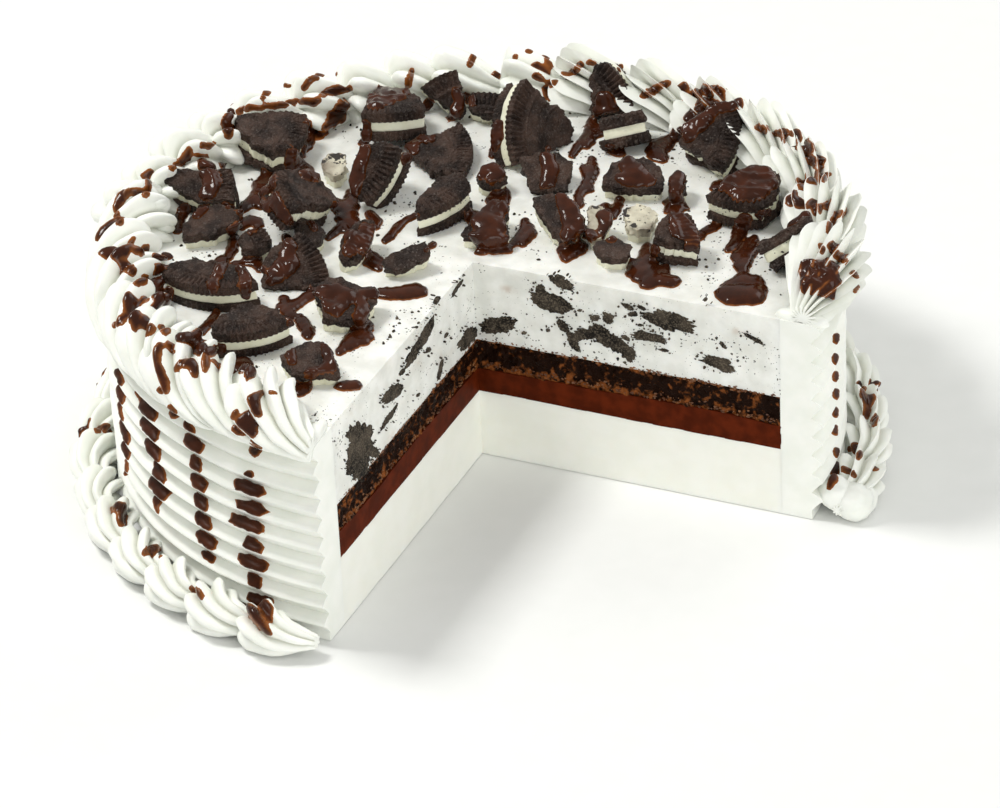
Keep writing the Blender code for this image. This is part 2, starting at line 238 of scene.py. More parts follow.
class Effects:
    """Shader groups that several finishes share."""

    def __init__(self) -> None:
        """Builds the groups once."""
        self.crumb = self.build_crumb()
        self.cream = self.build_cream()
        self.specks = self.build_specks()

    @staticmethod
    def build_crumb() -> bpy.types.NodeTree:
        """Baked crumb: grains of two sizes with cracks between, and a slow change of tone."""
        work = shader_group("crumb", {"Grain": 1.0}, ("Height", "Tone", "Grains"))
        ins = work.add("NodeGroupInput").outputs
        at = work.here()
        coarse = work.math("DIVIDE", 700.0, ins["Grain"])
        fine = work.math("DIVIDE", 2300.0, ins["Grain"])
        bent = work.noise(at, coarse, 2.0).outputs["Color"]
        shift = work.vector("MULTIPLY_ADD", bent, (0.0008,) * 3, at)
        small = work.cells(shift, fine).outputs
        crack = work.cells(shift, coarse).outputs["Distance"]
        height = work.math("MULTIPLY_ADD", small["Distance"], -0.5, 1.0)
        work.add("NodeGroupOutput", {
            "Height": work.math("SUBTRACT", height, crack),
            "Tone": work.noise(at, 160.0, 5.0).outputs["Fac"],
            "Grains": work.parts(small["Color"])[0],
        })
        return work.tree

    @staticmethod
    def build_cream() -> bpy.types.NodeTree:
        """Frozen cream: broad waves, fine grain and small air holes."""
        work = shader_group("cream", {"Waves": 1.0, "Holes": 0.5}, ("Height", "Tone"))
        ins = work.add("NodeGroupInput").outputs
        at = work.here()
        wave = work.noise(at, 130.0, 4.0).outputs["Fac"]
        fine = work.noise(at, 1400.0, 3.0).outputs["Fac"]
        hole = work.cells(at, 900.0).outputs
        pit = work.span(hole["Distance"], 0.05, 0.3)
        rare = work.math("GREATER_THAN", work.parts(hole["Color"])[0], 0.8)
        depth = work.math("MULTIPLY", work.math("SUBTRACT", 1.0, pit), rare)
        depth = work.math("MULTIPLY", depth, ins["Holes"])
        height = work.math("MULTIPLY", wave, ins["Waves"])
        height = work.math("MULTIPLY_ADD", fine, 0.22, height)
        height = work.math("SUBTRACT", height, depth)
        work.add("NodeGroupOutput", {"Height": height, "Tone": wave})
        return work.tree

    @staticmethod
    def build_specks() -> bpy.types.NodeTree:
        """Dark specks of ground cookie: a mask of dots of random size, bunched in places."""
        work = shader_group("specks", {"Scale": 500.0, "Amount": 0.5}, ("Mask",))
        ins = work.add("NodeGroupInput").outputs
        at = work.here()
        bunch = work.noise(at, 75.0, 3.0).outputs["Fac"]
        bent = work.noise(at, 900.0, 2.0).outputs["Color"]
        shift = work.vector("MULTIPLY_ADD", bent, (0.0011,) * 3, at)
        dots = work.cells(shift, ins["Scale"]).outputs
        chance = work.parts(dots["Color"])
        size = work.math("MULTIPLY", chance[0], chance[1])
        size = work.math("MULTIPLY", size, ins["Amount"])
        size = work.math("MULTIPLY", size, work.span(bunch, 0.38, 0.68))
        edge = work.math("SUBTRACT", size, dots["Distance"])
        work.add("NodeGroupOutput", {"Mask": work.span(edge, -0.02, 0.05)})
        return work.tree


Color = tuple[float, float, float]
Sockets = tuple[bpy.types.NodeSocket, ...]


@dataclass(frozen=True)
class Finish:
    """What every finish has: its name and how rough and shiny it is."""

    name: str
    roughness: float = 0.5
    bump: float = 0.3
    soft: float = 0.0
    coat: float = 0.0
    specular: float = 0.5

    def build(self, effects: Effects) -> bpy.types.Material:
        """Makes the material; effects are the shared groups."""
        mat = bpy.data.materials.new(self.name)
        mat.use_nodes = True
        shader = mat.node_tree.nodes["Principled BSDF"].inputs
        for name, value in (
            ("Roughness", self.roughness), ("Subsurface Weight", self.soft),
            ("Subsurface Radius", (1.0, 0.85, 0.7)), ("Subsurface Scale", 0.0025),
            ("Coat Weight", self.coat), ("Specular IOR Level", self.specular),
            ("Coat Roughness", 0.18),
        ):
            shader[name].default_value = value
        work = NodeWork(mat.node_tree)
        color, *more = self.paint(work, effects)
        work.tree.links.new(color, shader["Base Color"])
        if more:
            ins = {"Height": more[0], "Strength": self.bump, "Distance": 0.0006}
            bump = work.add("ShaderNodeBump", ins).outputs["Normal"]
            work.tree.links.new(bump, shader["Normal"])
        if len(more) > 1:
            work.tree.links.new(more[1], shader["Roughness"])
        return mat

    def paint(self, work: NodeWork, effects: Effects) -> Sockets:
        """The floor's colour; other finishes paint their own, with a height and a roughness."""
        tone = work.add("ShaderNodeGroup", node_tree=effects.cream).outputs["Tone"]
        return (work.blend(tone, (0.86, 0.87, 0.86), (0.9, 0.905, 0.9)),)


@dataclass(frozen=True)
class CreamFinish(Finish):
    """Icing, ice cream or cookie filling."""

    light: Color = (0.9, 0.91, 0.89)
    shade: Color = (0.8, 0.82, 0.79)
    speck: Color = (0.03, 0.022, 0.018)
    coarse: float = 0.0
    fine: float = 0.0
    waves: float = 1.0
    holes: float = 0.4

    def paint(self, work: NodeWork, effects: Effects) -> Sockets:
        """Cream with specks, with painted shade in its grooves, and stained where it is marked."""
        ins = {"Waves": self.waves, "Holes": self.holes}
        cream = work.add("ShaderNodeGroup", ins, node_tree=effects.cream).outputs
        color = work.blend(work.span(cream["Tone"], 0.3, 0.7), self.shade, self.light)
        for scale, amount in ((420.0, self.coarse), (1250.0, self.fine)):
            if amount > 0.0:
                ins = {"Scale": scale, "Amount": amount}
                dots = work.add("ShaderNodeGroup", ins, node_tree=effects.specks)
                color = work.blend(dots.outputs["Mask"], color, self.speck)
        # painted shade: a grey tint where the dip mark says a point lies deep in a groove, standing
        # in for the shade there
        groove = work.math("MULTIPLY", work.span(work.marked("dip"), 0.35, 1.0), 0.75)
        color = work.blend(groove, color, (0.6, 0.61, 0.53))
        color = work.blend(work.marked("stain"), color, (0.42, 0.25, 0.14))
        return color, cream["Height"]


@dataclass(frozen=True)
class CrumbFinish(Finish):
    """Baked cookie: dark, dry grains."""

    dark: Color = (0.014, 0.009, 0.007)
    light: Color = (0.045, 0.032, 0.026)
    dust: Color = (0.12, 0.095, 0.08)
    grain: float = 1.0
    dusty: float = 0.91

    def paint(self, work: NodeWork, effects: Effects) -> Sockets:
        """Grains of two tones, with paler dust that is thicker on broken sides."""
        crumb = work.add("ShaderNodeGroup", {"Grain": self.grain}, node_tree=effects.crumb).outputs
        color = work.blend(work.span(crumb["Tone"], 0.35, 0.7), self.dark, self.light)
        bar = work.math("MULTIPLY_ADD", work.marked("broken"), -0.12, self.dusty)
        dusty = work.math("MULTIPLY", work.math("GREATER_THAN", crumb["Grains"], bar), 0.4)
        return work.blend(dusty, color, self.dust), crumb["Height"]


@dataclass(frozen=True)
class CrunchFinish(Finish):
    """The crunch layer: fudge-coated crumbs, with wet orange-brown glints."""

    def paint(self, work: NodeWork, effects: Effects) -> Sockets:
        """Near-black crumbs with glints, more of them along the layer's two edges."""
        crumb = work.add("ShaderNodeGroup", {"Grain": 1.5}, node_tree=effects.crumb).outputs
        at = work.here()
        glint = work.noise(at, 520.0, 4.0).outputs["Fac"]
        patch = work.noise(at, 95.0, 3.0).outputs["Fac"]
        color = work.blend(crumb["Tone"], (0.0045, 0.002, 0.0012), (0.018, 0.006, 0.0026))
        warm = work.math("MULTIPLY_ADD", patch, 0.3, glint)
        high = work.add("ShaderNodeSeparateXYZ", {"Vector": at}).outputs["Z"]
        foot = work.span(high, 0.0315, 0.0275)
        head = work.span(high, 0.0352, 0.0372)
        edge = work.math("MULTIPLY", work.math("MAXIMUM", foot, head), 0.16)
        warm = work.span(work.math("ADD", warm, edge), 0.69, 0.9)
        ins = {"Value": glint, "To Min": 0.65, "To Max": 0.3}
        gloss = work.add("ShaderNodeMapRange", ins).outputs["Result"]
        return work.blend(warm, color, (0.24, 0.075, 0.02)), crumb["Height"], gloss


@dataclass(frozen=True)
class SauceFinish(Finish):
    """Glossy chocolate sauce or fudge, orange-brown where it is thin."""

    thick: Color = (0.062, 0.014, 0.006)
    thin: Color = (0.34, 0.105, 0.022)

    def paint(self, work: NodeWork, effects: Effects) -> Sockets:
        """Dark where it is thick, with slow changes of tone."""
        slow = work.noise(work.here(), 220.0, 3.0).outputs["Fac"]
        thin = work.marked("thin")
        color = work.blend(thin, self.thick, self.thin)
        deep = tuple(0.55 * c for c in self.thick)
        color = work.blend(work.span(slow, 0.7, 0.35), color, deep)
        cream = work.add("ShaderNodeGroup", {"Holes": 0.25}, node_tree=effects.cream)
        return work.blend(thin, color, self.thin), cream.outputs["Height"]


class Pantry:
    """Every material of the cake, made once."""

    def __init__(self) -> None:
        """Builds all finishes."""
        effects = Effects()
        made = (
            CreamFinish("icing", 0.4, 0.16, 0.12, light=(0.945, 0.955, 0.905),
                        shade=(0.88, 0.9, 0.84), waves=0.5, holes=0.12),
            CreamFinish("vanilla", 0.5, 0.1, 0.3, light=(0.94, 0.945, 0.875),
                        shade=(0.905, 0.91, 0.835), waves=0.6, holes=0.2),
            CreamFinish("cookie_ice_cream", 0.45, 0.28, 0.3, light=(0.91, 0.915, 0.88),
                        shade=(0.74, 0.745, 0.7), coarse=0.3, fine=0.6, waves=1.2, holes=0.5),
            CreamFinish("filling", 0.55, 0.35, 0.2, light=(0.88, 0.87, 0.7),
                        shade=(0.76, 0.74, 0.56), coarse=0.5, fine=0.7, holes=0.6),
            CreamFinish("crumbed_filling", 0.6, 1.0, 0.2, light=(0.7, 0.66, 0.52),
                        shade=(0.16, 0.12, 0.085), speck=(0.02, 0.014, 0.01), coarse=2.6,
                        fine=2.4, waves=3.0, holes=1.0),
            SauceFinish("fudge", 0.55, 0.12, specular=0.03,
                        thick=(0.11, 0.016, 0.0035), thin=(0.3, 0.08, 0.02)),
            SauceFinish("sauce", 0.15, 0.1, coat=0.08, specular=0.2,
                        thick=(0.054, 0.0125, 0.0035), thin=(0.32, 0.1, 0.02)),
            SauceFinish("thin_sauce", 0.38, 0.1, specular=0.12, thick=(0.062, 0.0155, 0.005)),
            CrunchFinish("crunch", 0.45, 1.0, coat=0.02, specular=0.03),
            CrumbFinish("wafer", 0.5, 1.0, specular=0.25, dark=(0.014, 0.0065, 0.004),
                        light=(0.068, 0.038, 0.027)),
            CrumbFinish("crumbs", 0.8, 1.0, specular=0.2, dark=(0.009, 0.0065, 0.0045),
                        light=(0.085, 0.067, 0.049), dust=(0.22, 0.18, 0.13), dusty=0.7,
                        grain=0.8),
            CrumbFinish("golden_crumb", 0.4, 0.7, specular=0.45, dark=(0.09, 0.027, 0.008),
                        light=(0.3, 0.125, 0.045), dusty=0.97, grain=0.7),
            Finish("floor", 0.65, 0.0),
        )
        self.materials = {f.name: f.build(effects) for f in made}

    def of(self, name: str) -> bpy.types.Material:
        """The material of that name."""
        return self.materials[name]


# Meshes


def put(name: str, data: bpy.types.ID) -> bpy.types.Object:
    """Puts a mesh, curve, light or camera into the scene; returns the object."""
    obj = bpy.data.objects.new(name, data)
    bpy.context.scene.collection.objects.link(obj)
    return obj


def face_out(obj: bpy.types.Object, merge: bool = False) -> None:
    """Turns a piece's faces outward; merge first joins the corners that share a place."""
    bm = bmesh.new()
    bm.from_mesh(obj.data)
    if merge:
        bmesh.ops.remove_doubles(bm, verts=bm.verts, dist=1e-7)
    bmesh.ops.recalc_face_normals(bm, faces=bm.faces)
    bm.to_mesh(obj.data)
    bm.free()


def settled(bm: bmesh.types.BMesh, name: str) -> bpy.types.Mesh:
    """Turns a mesh in work into a named one with smooth faces, and frees it."""
    mesh = bpy.data.meshes.new(name)
    bm.to_mesh(mesh)
    bm.free()
    mesh.polygons.foreach_set("use_smooth", [True] * len(mesh.polygons))
    return mesh


def corners(mesh: bpy.types.Mesh) -> np.ndarray:
    """Places of a mesh's corners in metres, one row each."""
    flat = np.empty(len(mesh.vertices) * 3)
    mesh.vertices.foreach_get("co", flat)
    return flat.reshape(-1, 3)


def stacked(bodies: list[tuple[np.ndarray, list]]) -> tuple[np.ndarray, list[tuple[int, ...]]]:
    """Joins bodies, each given as points and faces, into one list of points and one of faces."""
    faces: list[tuple[int, ...]] = []
    start = 0
    for points, skin in bodies:
        faces += [tuple(start + v for v in face) for face in skin]
        start += len(points)
    return np.vstack([points for points, _ in bodies]), faces


def ring_faces(count: int, rings: int) -> list[tuple[int, ...]]:
    """Faces of a closed body of rings; its upper and lower middle point come after the rings.

    Args:
        count: points on each ring.
        rings: how many rings there are.

    Returns:
        Corner numbers of each face.
    """
    faces: list[tuple[int, ...]] = []
    middle, last = count * rings, count * (rings - 1)
    for i in range(count):
        k = (i + 1) % count
        faces += [(middle, i, k), (middle + 1, last + k, last + i)]
        for a in range(0, last, count):
            faces.append((a + i, a + count + i, a + count + k, a + k))
    return faces


class Workshop:
    """Makes mesh pieces and puts each on the cake's one body."""

    CREASE = 62.0  # degrees between two faces from which their edge is sharp

    def __init__(self, pantry: Pantry) -> None:
        """Keeps the materials at hand and lists the pieces."""
        self.pantry = pantry
        self.pieces: list[bpy.types.Object] = []

    def mesh(self, name: str, points: np.ndarray, faces: list, finishes: tuple[str, ...],
             picks: list[int] | None = None) -> bpy.types.Object:
        """Makes an object from points in millimetres.

        Args:
            name: the object's name.
            points: one row of x, y, z for each corner.
            faces: corner numbers of each face.
            finishes: names of its materials.
            picks: which of them each face takes, or None for the first.

        Returns:
            The new object, with smooth faces.
        """
        made = bpy.data.meshes.new(name)
        made.from_pydata((np.asarray(points) * MM).tolist(), [], faces)
        for finish in finishes:
            made.materials.append(self.pantry.of(finish))
        if picks is not None:
            made.polygons.foreach_set("material_index", picks)
        made.polygons.foreach_set("use_smooth", [True] * len(made.polygons))
        made.update()
        return put(name, made)

    def mark(self, obj: bpy.types.Object, name: str, values: np.ndarray) -> None:
        """Stores one number for each corner, for the materials to read."""
        layer = obj.data.attributes.new(name, "FLOAT", "POINT")
        layer.data.foreach_set("value", np.asarray(values, np.float32))

    def keep(self, obj: bpy.types.Object, slot: str, *nodes: str) -> bpy.types.Object:
        """Puts a finished piece on the cake.

        Args:
            obj: the piece, in its place.
            slot: the record's material slot; not used.
            nodes: the solids that it stands for.

        Returns:
            The same object.
        """
        obj.data.set_sharp_from_angle(angle=math.radians(self.CREASE))
        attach(obj, "root")
        if nodes:
            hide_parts(*nodes)
        self.pieces.append(obj)
        count = sum(len(p.vertices) - 2 for p in obj.data.polygons)
        LOG.info("%s: %d triangles", obj.name, count)
        return obj

    def plain(self, obj: bpy.types.Object) -> bpy.types.Object:
        """Replaces an object by a plain mesh of what its modifiers make of it."""
        graph = bpy.context.evaluated_depsgraph_get()
        made = bpy.data.meshes.new_from_object(obj.evaluated_get(graph))
        name = obj.name
        bpy.data.objects.remove(obj, do_unlink=True)
        made.name = name
        return put(name, made)


def trim(bm: bmesh.types.BMesh, geom: list, place: Vector, outward: Vector,
         ridged: bool = False) -> None:
    """Cuts closed bodies by a plane and closes the cut.

    Args:
        bm: the mesh.
        geom: its corners, edges and faces that may be cut.
        place: a point of the plane.
        outward: the side that goes.
        ridged: True closes the cut by a fan from its middle, for a deeply ridged outline.
    """
    before = {e for e in bm.edges if e.is_boundary}
    bmesh.ops.bisect_plane(bm, geom=geom, plane_co=place, plane_no=outward, clear_outer=True)
    rim = [e for e in bm.edges if e.is_boundary and e not in before]
    if rim and ridged:
        around = list({v for e in rim for v in e.verts})
        middle = bm.verts.new(sum((v.co for v in around), Vector()) / len(around))
        for edge in rim:
            bm.faces.new((*edge.verts, middle))
    elif rim:
        bmesh.ops.holes_fill(bm, edges=rim, sides=0)


def islands(bm: bmesh.types.BMesh) -> list[list[bmesh.types.BMVert]]:
    """The separate bodies of a mesh, as lists of corners."""
    seen: set = set()
    found = []
    for start in bm.verts:
        if start in seen:
            continue
        stack, body = [start], []
        seen.add(start)
        while stack:
            here = stack.pop()
            body.append(here)
            for edge in here.link_edges:
                other = edge.other_vert(here)
                if other not in seen:
                    seen.add(other)
                    stack.append(other)
        found.append(body)
    return found


@dataclass
class Layer:
    """One layer of the cake's body, with its two cut faces worked in detail."""

    name: str
    finish: str
    low: float
    high: float
    step: float = 0.6
    relief: float = 0.12
    grain: float = 5.0
    wave_low: float = 0.3
    wave_high: float = 0.3
    sink: float = 0.0
    detailed_top: bool = False
    radius: float = 88.2
    seed: int = 1
    turns: int = 60
    fine_turns: int = 150

    def edge(self, flat: np.ndarray, level: float, wave: float, seed: int) -> np.ndarray:
        """Heights of a wavy boundary near one level; flat holds x, y of each place."""
        place = np.column_stack([flat, np.full(len(flat), level)])
        return level + wave * rough(place, 22.0, 4, seed)

    def relief_at(self, points: np.ndarray) -> np.ndarray:
        """How far a cut face stands out at each point."""
        if self.relief < 0.3:
            return self.relief * rough(points, self.grain, 3, self.seed)
        lumps = rough(points, self.grain, 4, self.seed)
        clods = np.abs(drift(points, self.grain * 0.45, self.seed + 3))
        return self.relief * (lumps - 0.9 * clods) - self.sink

    def build(self, shop: Workshop) -> bpy.types.Object:
        """Makes the layer; shop is where it is made. Returns the object."""
        across = np.linspace(0.0, self.radius, int(self.radius / self.step) + 1)
        rows = max(3, int((self.high - self.low) / self.step) + 1)
        turns = self.fine_turns if self.detailed_top else self.turns
        azimuths = np.linspace(0.0, LEFT_OVER, turns + 1)
        points: list[np.ndarray] = []
        number: dict[tuple[int, int, int], int] = {}

        def section(a: int, picked: list[tuple[int, int]]) -> None:
            """Adds the picked grid points (column, row) of the section at azimuth step a."""
            col, row = np.array(picked).T
            r = across[col]
            flat = turned(r, np.full(len(r), azimuths[a]), np.zeros(len(r)))
            bottom = self.edge(flat[:, :2], self.low, self.wave_low, 11 + int(self.low))
            top = self.edge(flat[:, :2], self.high, self.wave_high, 11 + int(self.high))
            flat[:, 2] = bottom + (top - bottom) * (row / (rows - 1))
            for p in picked:
                number[(a, *p)] = len(number)
            points.append(flat)

        columns = len(across)
        rim = [(i, rows - 1) for i in range(columns)] + [(columns - 1, j) for j in range(rows - 1)]
        full = [(i, j) for i in range(columns) for j in range(rows)]
        for a in range(turns + 1):
            if a in (0, turns):
                section(a, full)
            elif self.detailed_top:
                section(a, [p for p in rim if p[0] > 0])
            else:
                section(a, [(columns - 1, j) for j in range(rows)])
        made = np.vstack(points)
        col, row = np.array(full).T
        fade = np.clip(col / 6.0, 0.0, 1.0) * np.clip((columns - 1 - col) / 3.0, 0.0, 1.0)
        if self.detailed_top:
            fade *= np.clip((rows - 1 - row) / 2.0, 0.25, 1.0)
        for a, normal in ((0, (0.0, -1.0, 0.0)), (turns, (1.0, 0.0, 0.0))):
            ids = np.array([number[(a, *p)] for p in full])
            made[ids] += (self.relief_at(made[ids]) * fade)[:, None] * np.array(normal)
        if self.detailed_top:
            ids = np.array([n for key, n in number.items() if key[2] == rows - 1])
            made[ids, 2] += 0.35 * rough(made[ids], 14.0, 4, 5) - 0.1
        faces = self.skin(number, columns, rows, turns)
        for j in range(rows):
            made[number[(turns, 0, j)]] = made[number[(0, 0, j)]]
        obj = shop.mesh(self.name + "_look", made, faces, (self.finish,))
        face_out(obj, merge=True)
        if self.detailed_top:
            self.stain(obj, shop)
        return shop.keep(obj, self.finish, self.name)

    @staticmethod
    def stain(obj: bpy.types.Object, shop: Workshop) -> None:
        """Marks where crumbs have tinted the ice cream at the cut faces; obj is the layer."""
        places = corners(obj.data) / MM
        near = np.exp(-((np.minimum(np.abs(places[:, 0]), np.abs(places[:, 1])) / 0.7) ** 2))
        smears = np.clip(drift(places * (0.6, 0.6, 1.0), 4.0, 33) * 2.0 - 0.85, 0.0, 1.0)
        dots = np.clip(rough(places, 1.6, 2, 35) * 2.0, 0.0, 1.0)
        low = np.clip((62.0 - places[:, 2]) / 4.0, 0.0, 1.0)
        shop.mark(obj, "stain", near * low * smears * (0.12 + 0.3 * dots))

    def skin(self, number: dict, columns: int, rows: int, turns: int) -> list[tuple[int, ...]]:
        """The faces of the layer.

        Args:
            number: point numbers by azimuth step, column and row.
            columns: points from the middle to the rim.
            rows: points from bottom to top.
            turns: azimuth steps.

        Returns:
            Corner numbers of each face.
        """
        faces: list[tuple[int, ...]] = []

        def face(*keys: tuple[int, int, int]) -> None:
            """Adds the face with these corners."""
            faces.append(tuple(number[key] for key in keys))

        last, up = columns - 1, rows - 1
        for i, j in itertools.product(range(last), range(up)):
            face((0, i, j), (0, i + 1, j), (0, i + 1, j + 1), (0, i, j + 1))
            face((turns, i, j), (turns, i, j + 1), (turns, i + 1, j + 1), (turns, i + 1, j))
        for a, j in itertools.product(range(turns), range(up)):
            face((a, last, j), (a + 1, last, j), (a + 1, last, j + 1), (a, last, j + 1))
        for j in (0,) if self.detailed_top else (0, up):
            ring = [(0, i, j) for i in range(columns)] + [(a, last, j) for a in range(1, turns)]
            face(*ring, *((turns, i, j) for i in range(last, 0, -1)))
        for a in range(turns if self.detailed_top else 0):
            face((0, 0, up), (a, 1, up), (a + 1, 1, up))
            for i in range(1, last):
                face((a, i, up), (a, i + 1, up), (a + 1, i + 1, up), (a + 1, i, up))
        return faces


@dataclass
class CombedWall:
    """The outer icing with the ridges that the comb left."""

    inner: float = 88.0
    outer: float = 100.0
    height: float = 60.8
    valley: float = 54.8
    pitch: float = 5.8
    depth: float = 3.2
    rise: float = 2.2
    teeth: int = 9
    turns: int = 420

    def profile(self) -> np.ndarray:
        """Radius, height and how far into the ridges each point of the outer side is."""
        rows = [(self.inner, self.height, 0.0), (91.0, self.height, 0.0)]
        rows += [(94.0, self.height, 0.0), (97.0, self.height - 0.3, 0.0)]
        rows += [(98.9, self.height - 1.2, 0.3), (99.6, self.height - 2.6, 0.6)]
        for tooth in range(self.teeth + 1):
            top = self.valley - self.pitch * tooth
            above = self.height - 2.6 if tooth == 0 else top + self.pitch - self.rise
            for share in (0.2, 0.45, 0.7, 0.88):
                z = above + (top - above) * share
                rows.append((self.outer - self.depth * share**0.8, z, 1.0))
            rows.append((self.outer - self.depth, top, 1.0))
            if tooth == self.teeth:
                break
            for share in (0.12, 0.35, 0.6, 0.82, 0.95):
                bulge = math.sin(math.pi * share / 2.0) ** 0.85
                rows.append((self.outer - self.depth * (1.0 - bulge), top - self.rise * share, 1.0))
            rows.append((self.outer, top - self.rise, 1.0))
        rows += [(self.outer - self.depth, 1.2, 0.2), (self.outer - self.depth, 0.0, 0.0)]
        return np.array(rows)

    def build(self, shop: Workshop) -> bpy.types.Object:
        """Makes the wall; shop is where it is made. Returns the object."""
        rows = self.profile()
        azimuths = np.linspace(0.0, LEFT_OVER, self.turns + 1)
        count = len(rows)
        grid_az = np.repeat(azimuths, count)
        r = np.tile(rows[:, 0], self.turns + 1)
        z = np.tile(rows[:, 1], self.turns + 1)
        live = np.tile(rows[:, 2], self.turns + 1)
        at = turned(np.full(len(r), self.outer), grid_az, z)
        slow = at * np.array([1.0, 1.0, 3.5])
        z = z + live * 0.3 * rough(slow, 38.0, 2, 21)
        r = r + live * (0.3 * rough(slow, 30.0, 3, 22) - 0.12 * np.abs(drift(at, 2.6, 23)))
        nick = np.clip(drift(at, 6.0, 24) - 0.72, 0.0, 1.0)
        r = r - live * 3.0 * nick
        top = np.clip((z - 60.2) / 0.6, 0.0, 1.0) * (live < 0.2)
        z = z - top * (0.25 + 0.35 * np.abs(rough(at, 16.0, 3, 25)))
        points = turned(r, grid_az, z)
        inner = turned(np.full(self.turns + 1, self.inner), azimuths, np.zeros(self.turns + 1))
        first = len(points)
        points = np.vstack([points, inner])
        faces = []
        for a in range(self.turns):
            low, high = a * count, (a + 1) * count
            for j in range(count - 1):
                faces.append((low + j, low + j + 1, high + j + 1, high + j))
            faces.append((low + count - 1, first + a, first + a + 1, high + count - 1))
            faces.append((first + a, low, high, first + a + 1))
        faces.append(tuple(range(count)) + (first,))
        last = self.turns * count
        faces.append((first + self.turns, *reversed(range(last, last + count))))
        obj = shop.mesh("icing_wall_look", points, faces, ("icing",))
        face_out(obj)
        return shop.keep(obj, "icing", "icing_wall")


class GeometryTree:
    """A tree of geometry nodes with named inputs."""

    NAME = ""
    INPUTS: tuple[tuple[str, str, object], ...] = ()

    def __init__(self) -> None:
        """Builds the tree once."""
        self.tree = bpy.data.node_groups.new(self.NAME, "GeometryNodeTree")
        face = self.tree.interface
        self.ids = {}
        for name, kind, value in (("Geometry", "Geometry", None), *self.INPUTS,
                                  ("Material", "Material", None)):
            made = face.new_socket(name, in_out="INPUT", socket_type=f"NodeSocket{kind}")
            if value is not None:
                made.default_value = value
            self.ids[name] = made.identifier
        face.new_socket("Geometry", in_out="OUTPUT", socket_type="NodeSocketGeometry")
        work = NodeWork(self.tree)
        ins = work.add("NodeGroupInput").outputs
        real = work.add("GeometryNodeRealizeInstances", {"Geometry": self.lay(work, ins)})
        done = work.add("GeometryNodeSetMaterial", {"Geometry": real.outputs["Geometry"],
                                                    "Material": ins["Material"]})
        work.add("NodeGroupOutput", {"Geometry": done.outputs["Geometry"]})

    def lay(self, work: NodeWork, ins: bpy.types.NodeOutputs) -> bpy.types.NodeSocket:
        """Adds the tree's own nodes and returns their geometry; ins are the tree's inputs."""
        raise NotImplementedError

    def run(self, obj: bpy.types.Object, values: dict[str, object],
            shop: Workshop) -> bpy.types.Object:
        """Runs the tree on an object.

        Args:
            obj: the object, a curve or a mesh.
            values: values for the tree's named inputs.
            shop: where the plain mesh is made.

        Returns:
            A plain mesh object.
        """
        made = obj.modifiers.new(self.NAME, "NODES")
        made.node_group = self.tree
        for name, value in values.items():
            made[self.ids[name]] = value
        return shop.plain(obj)


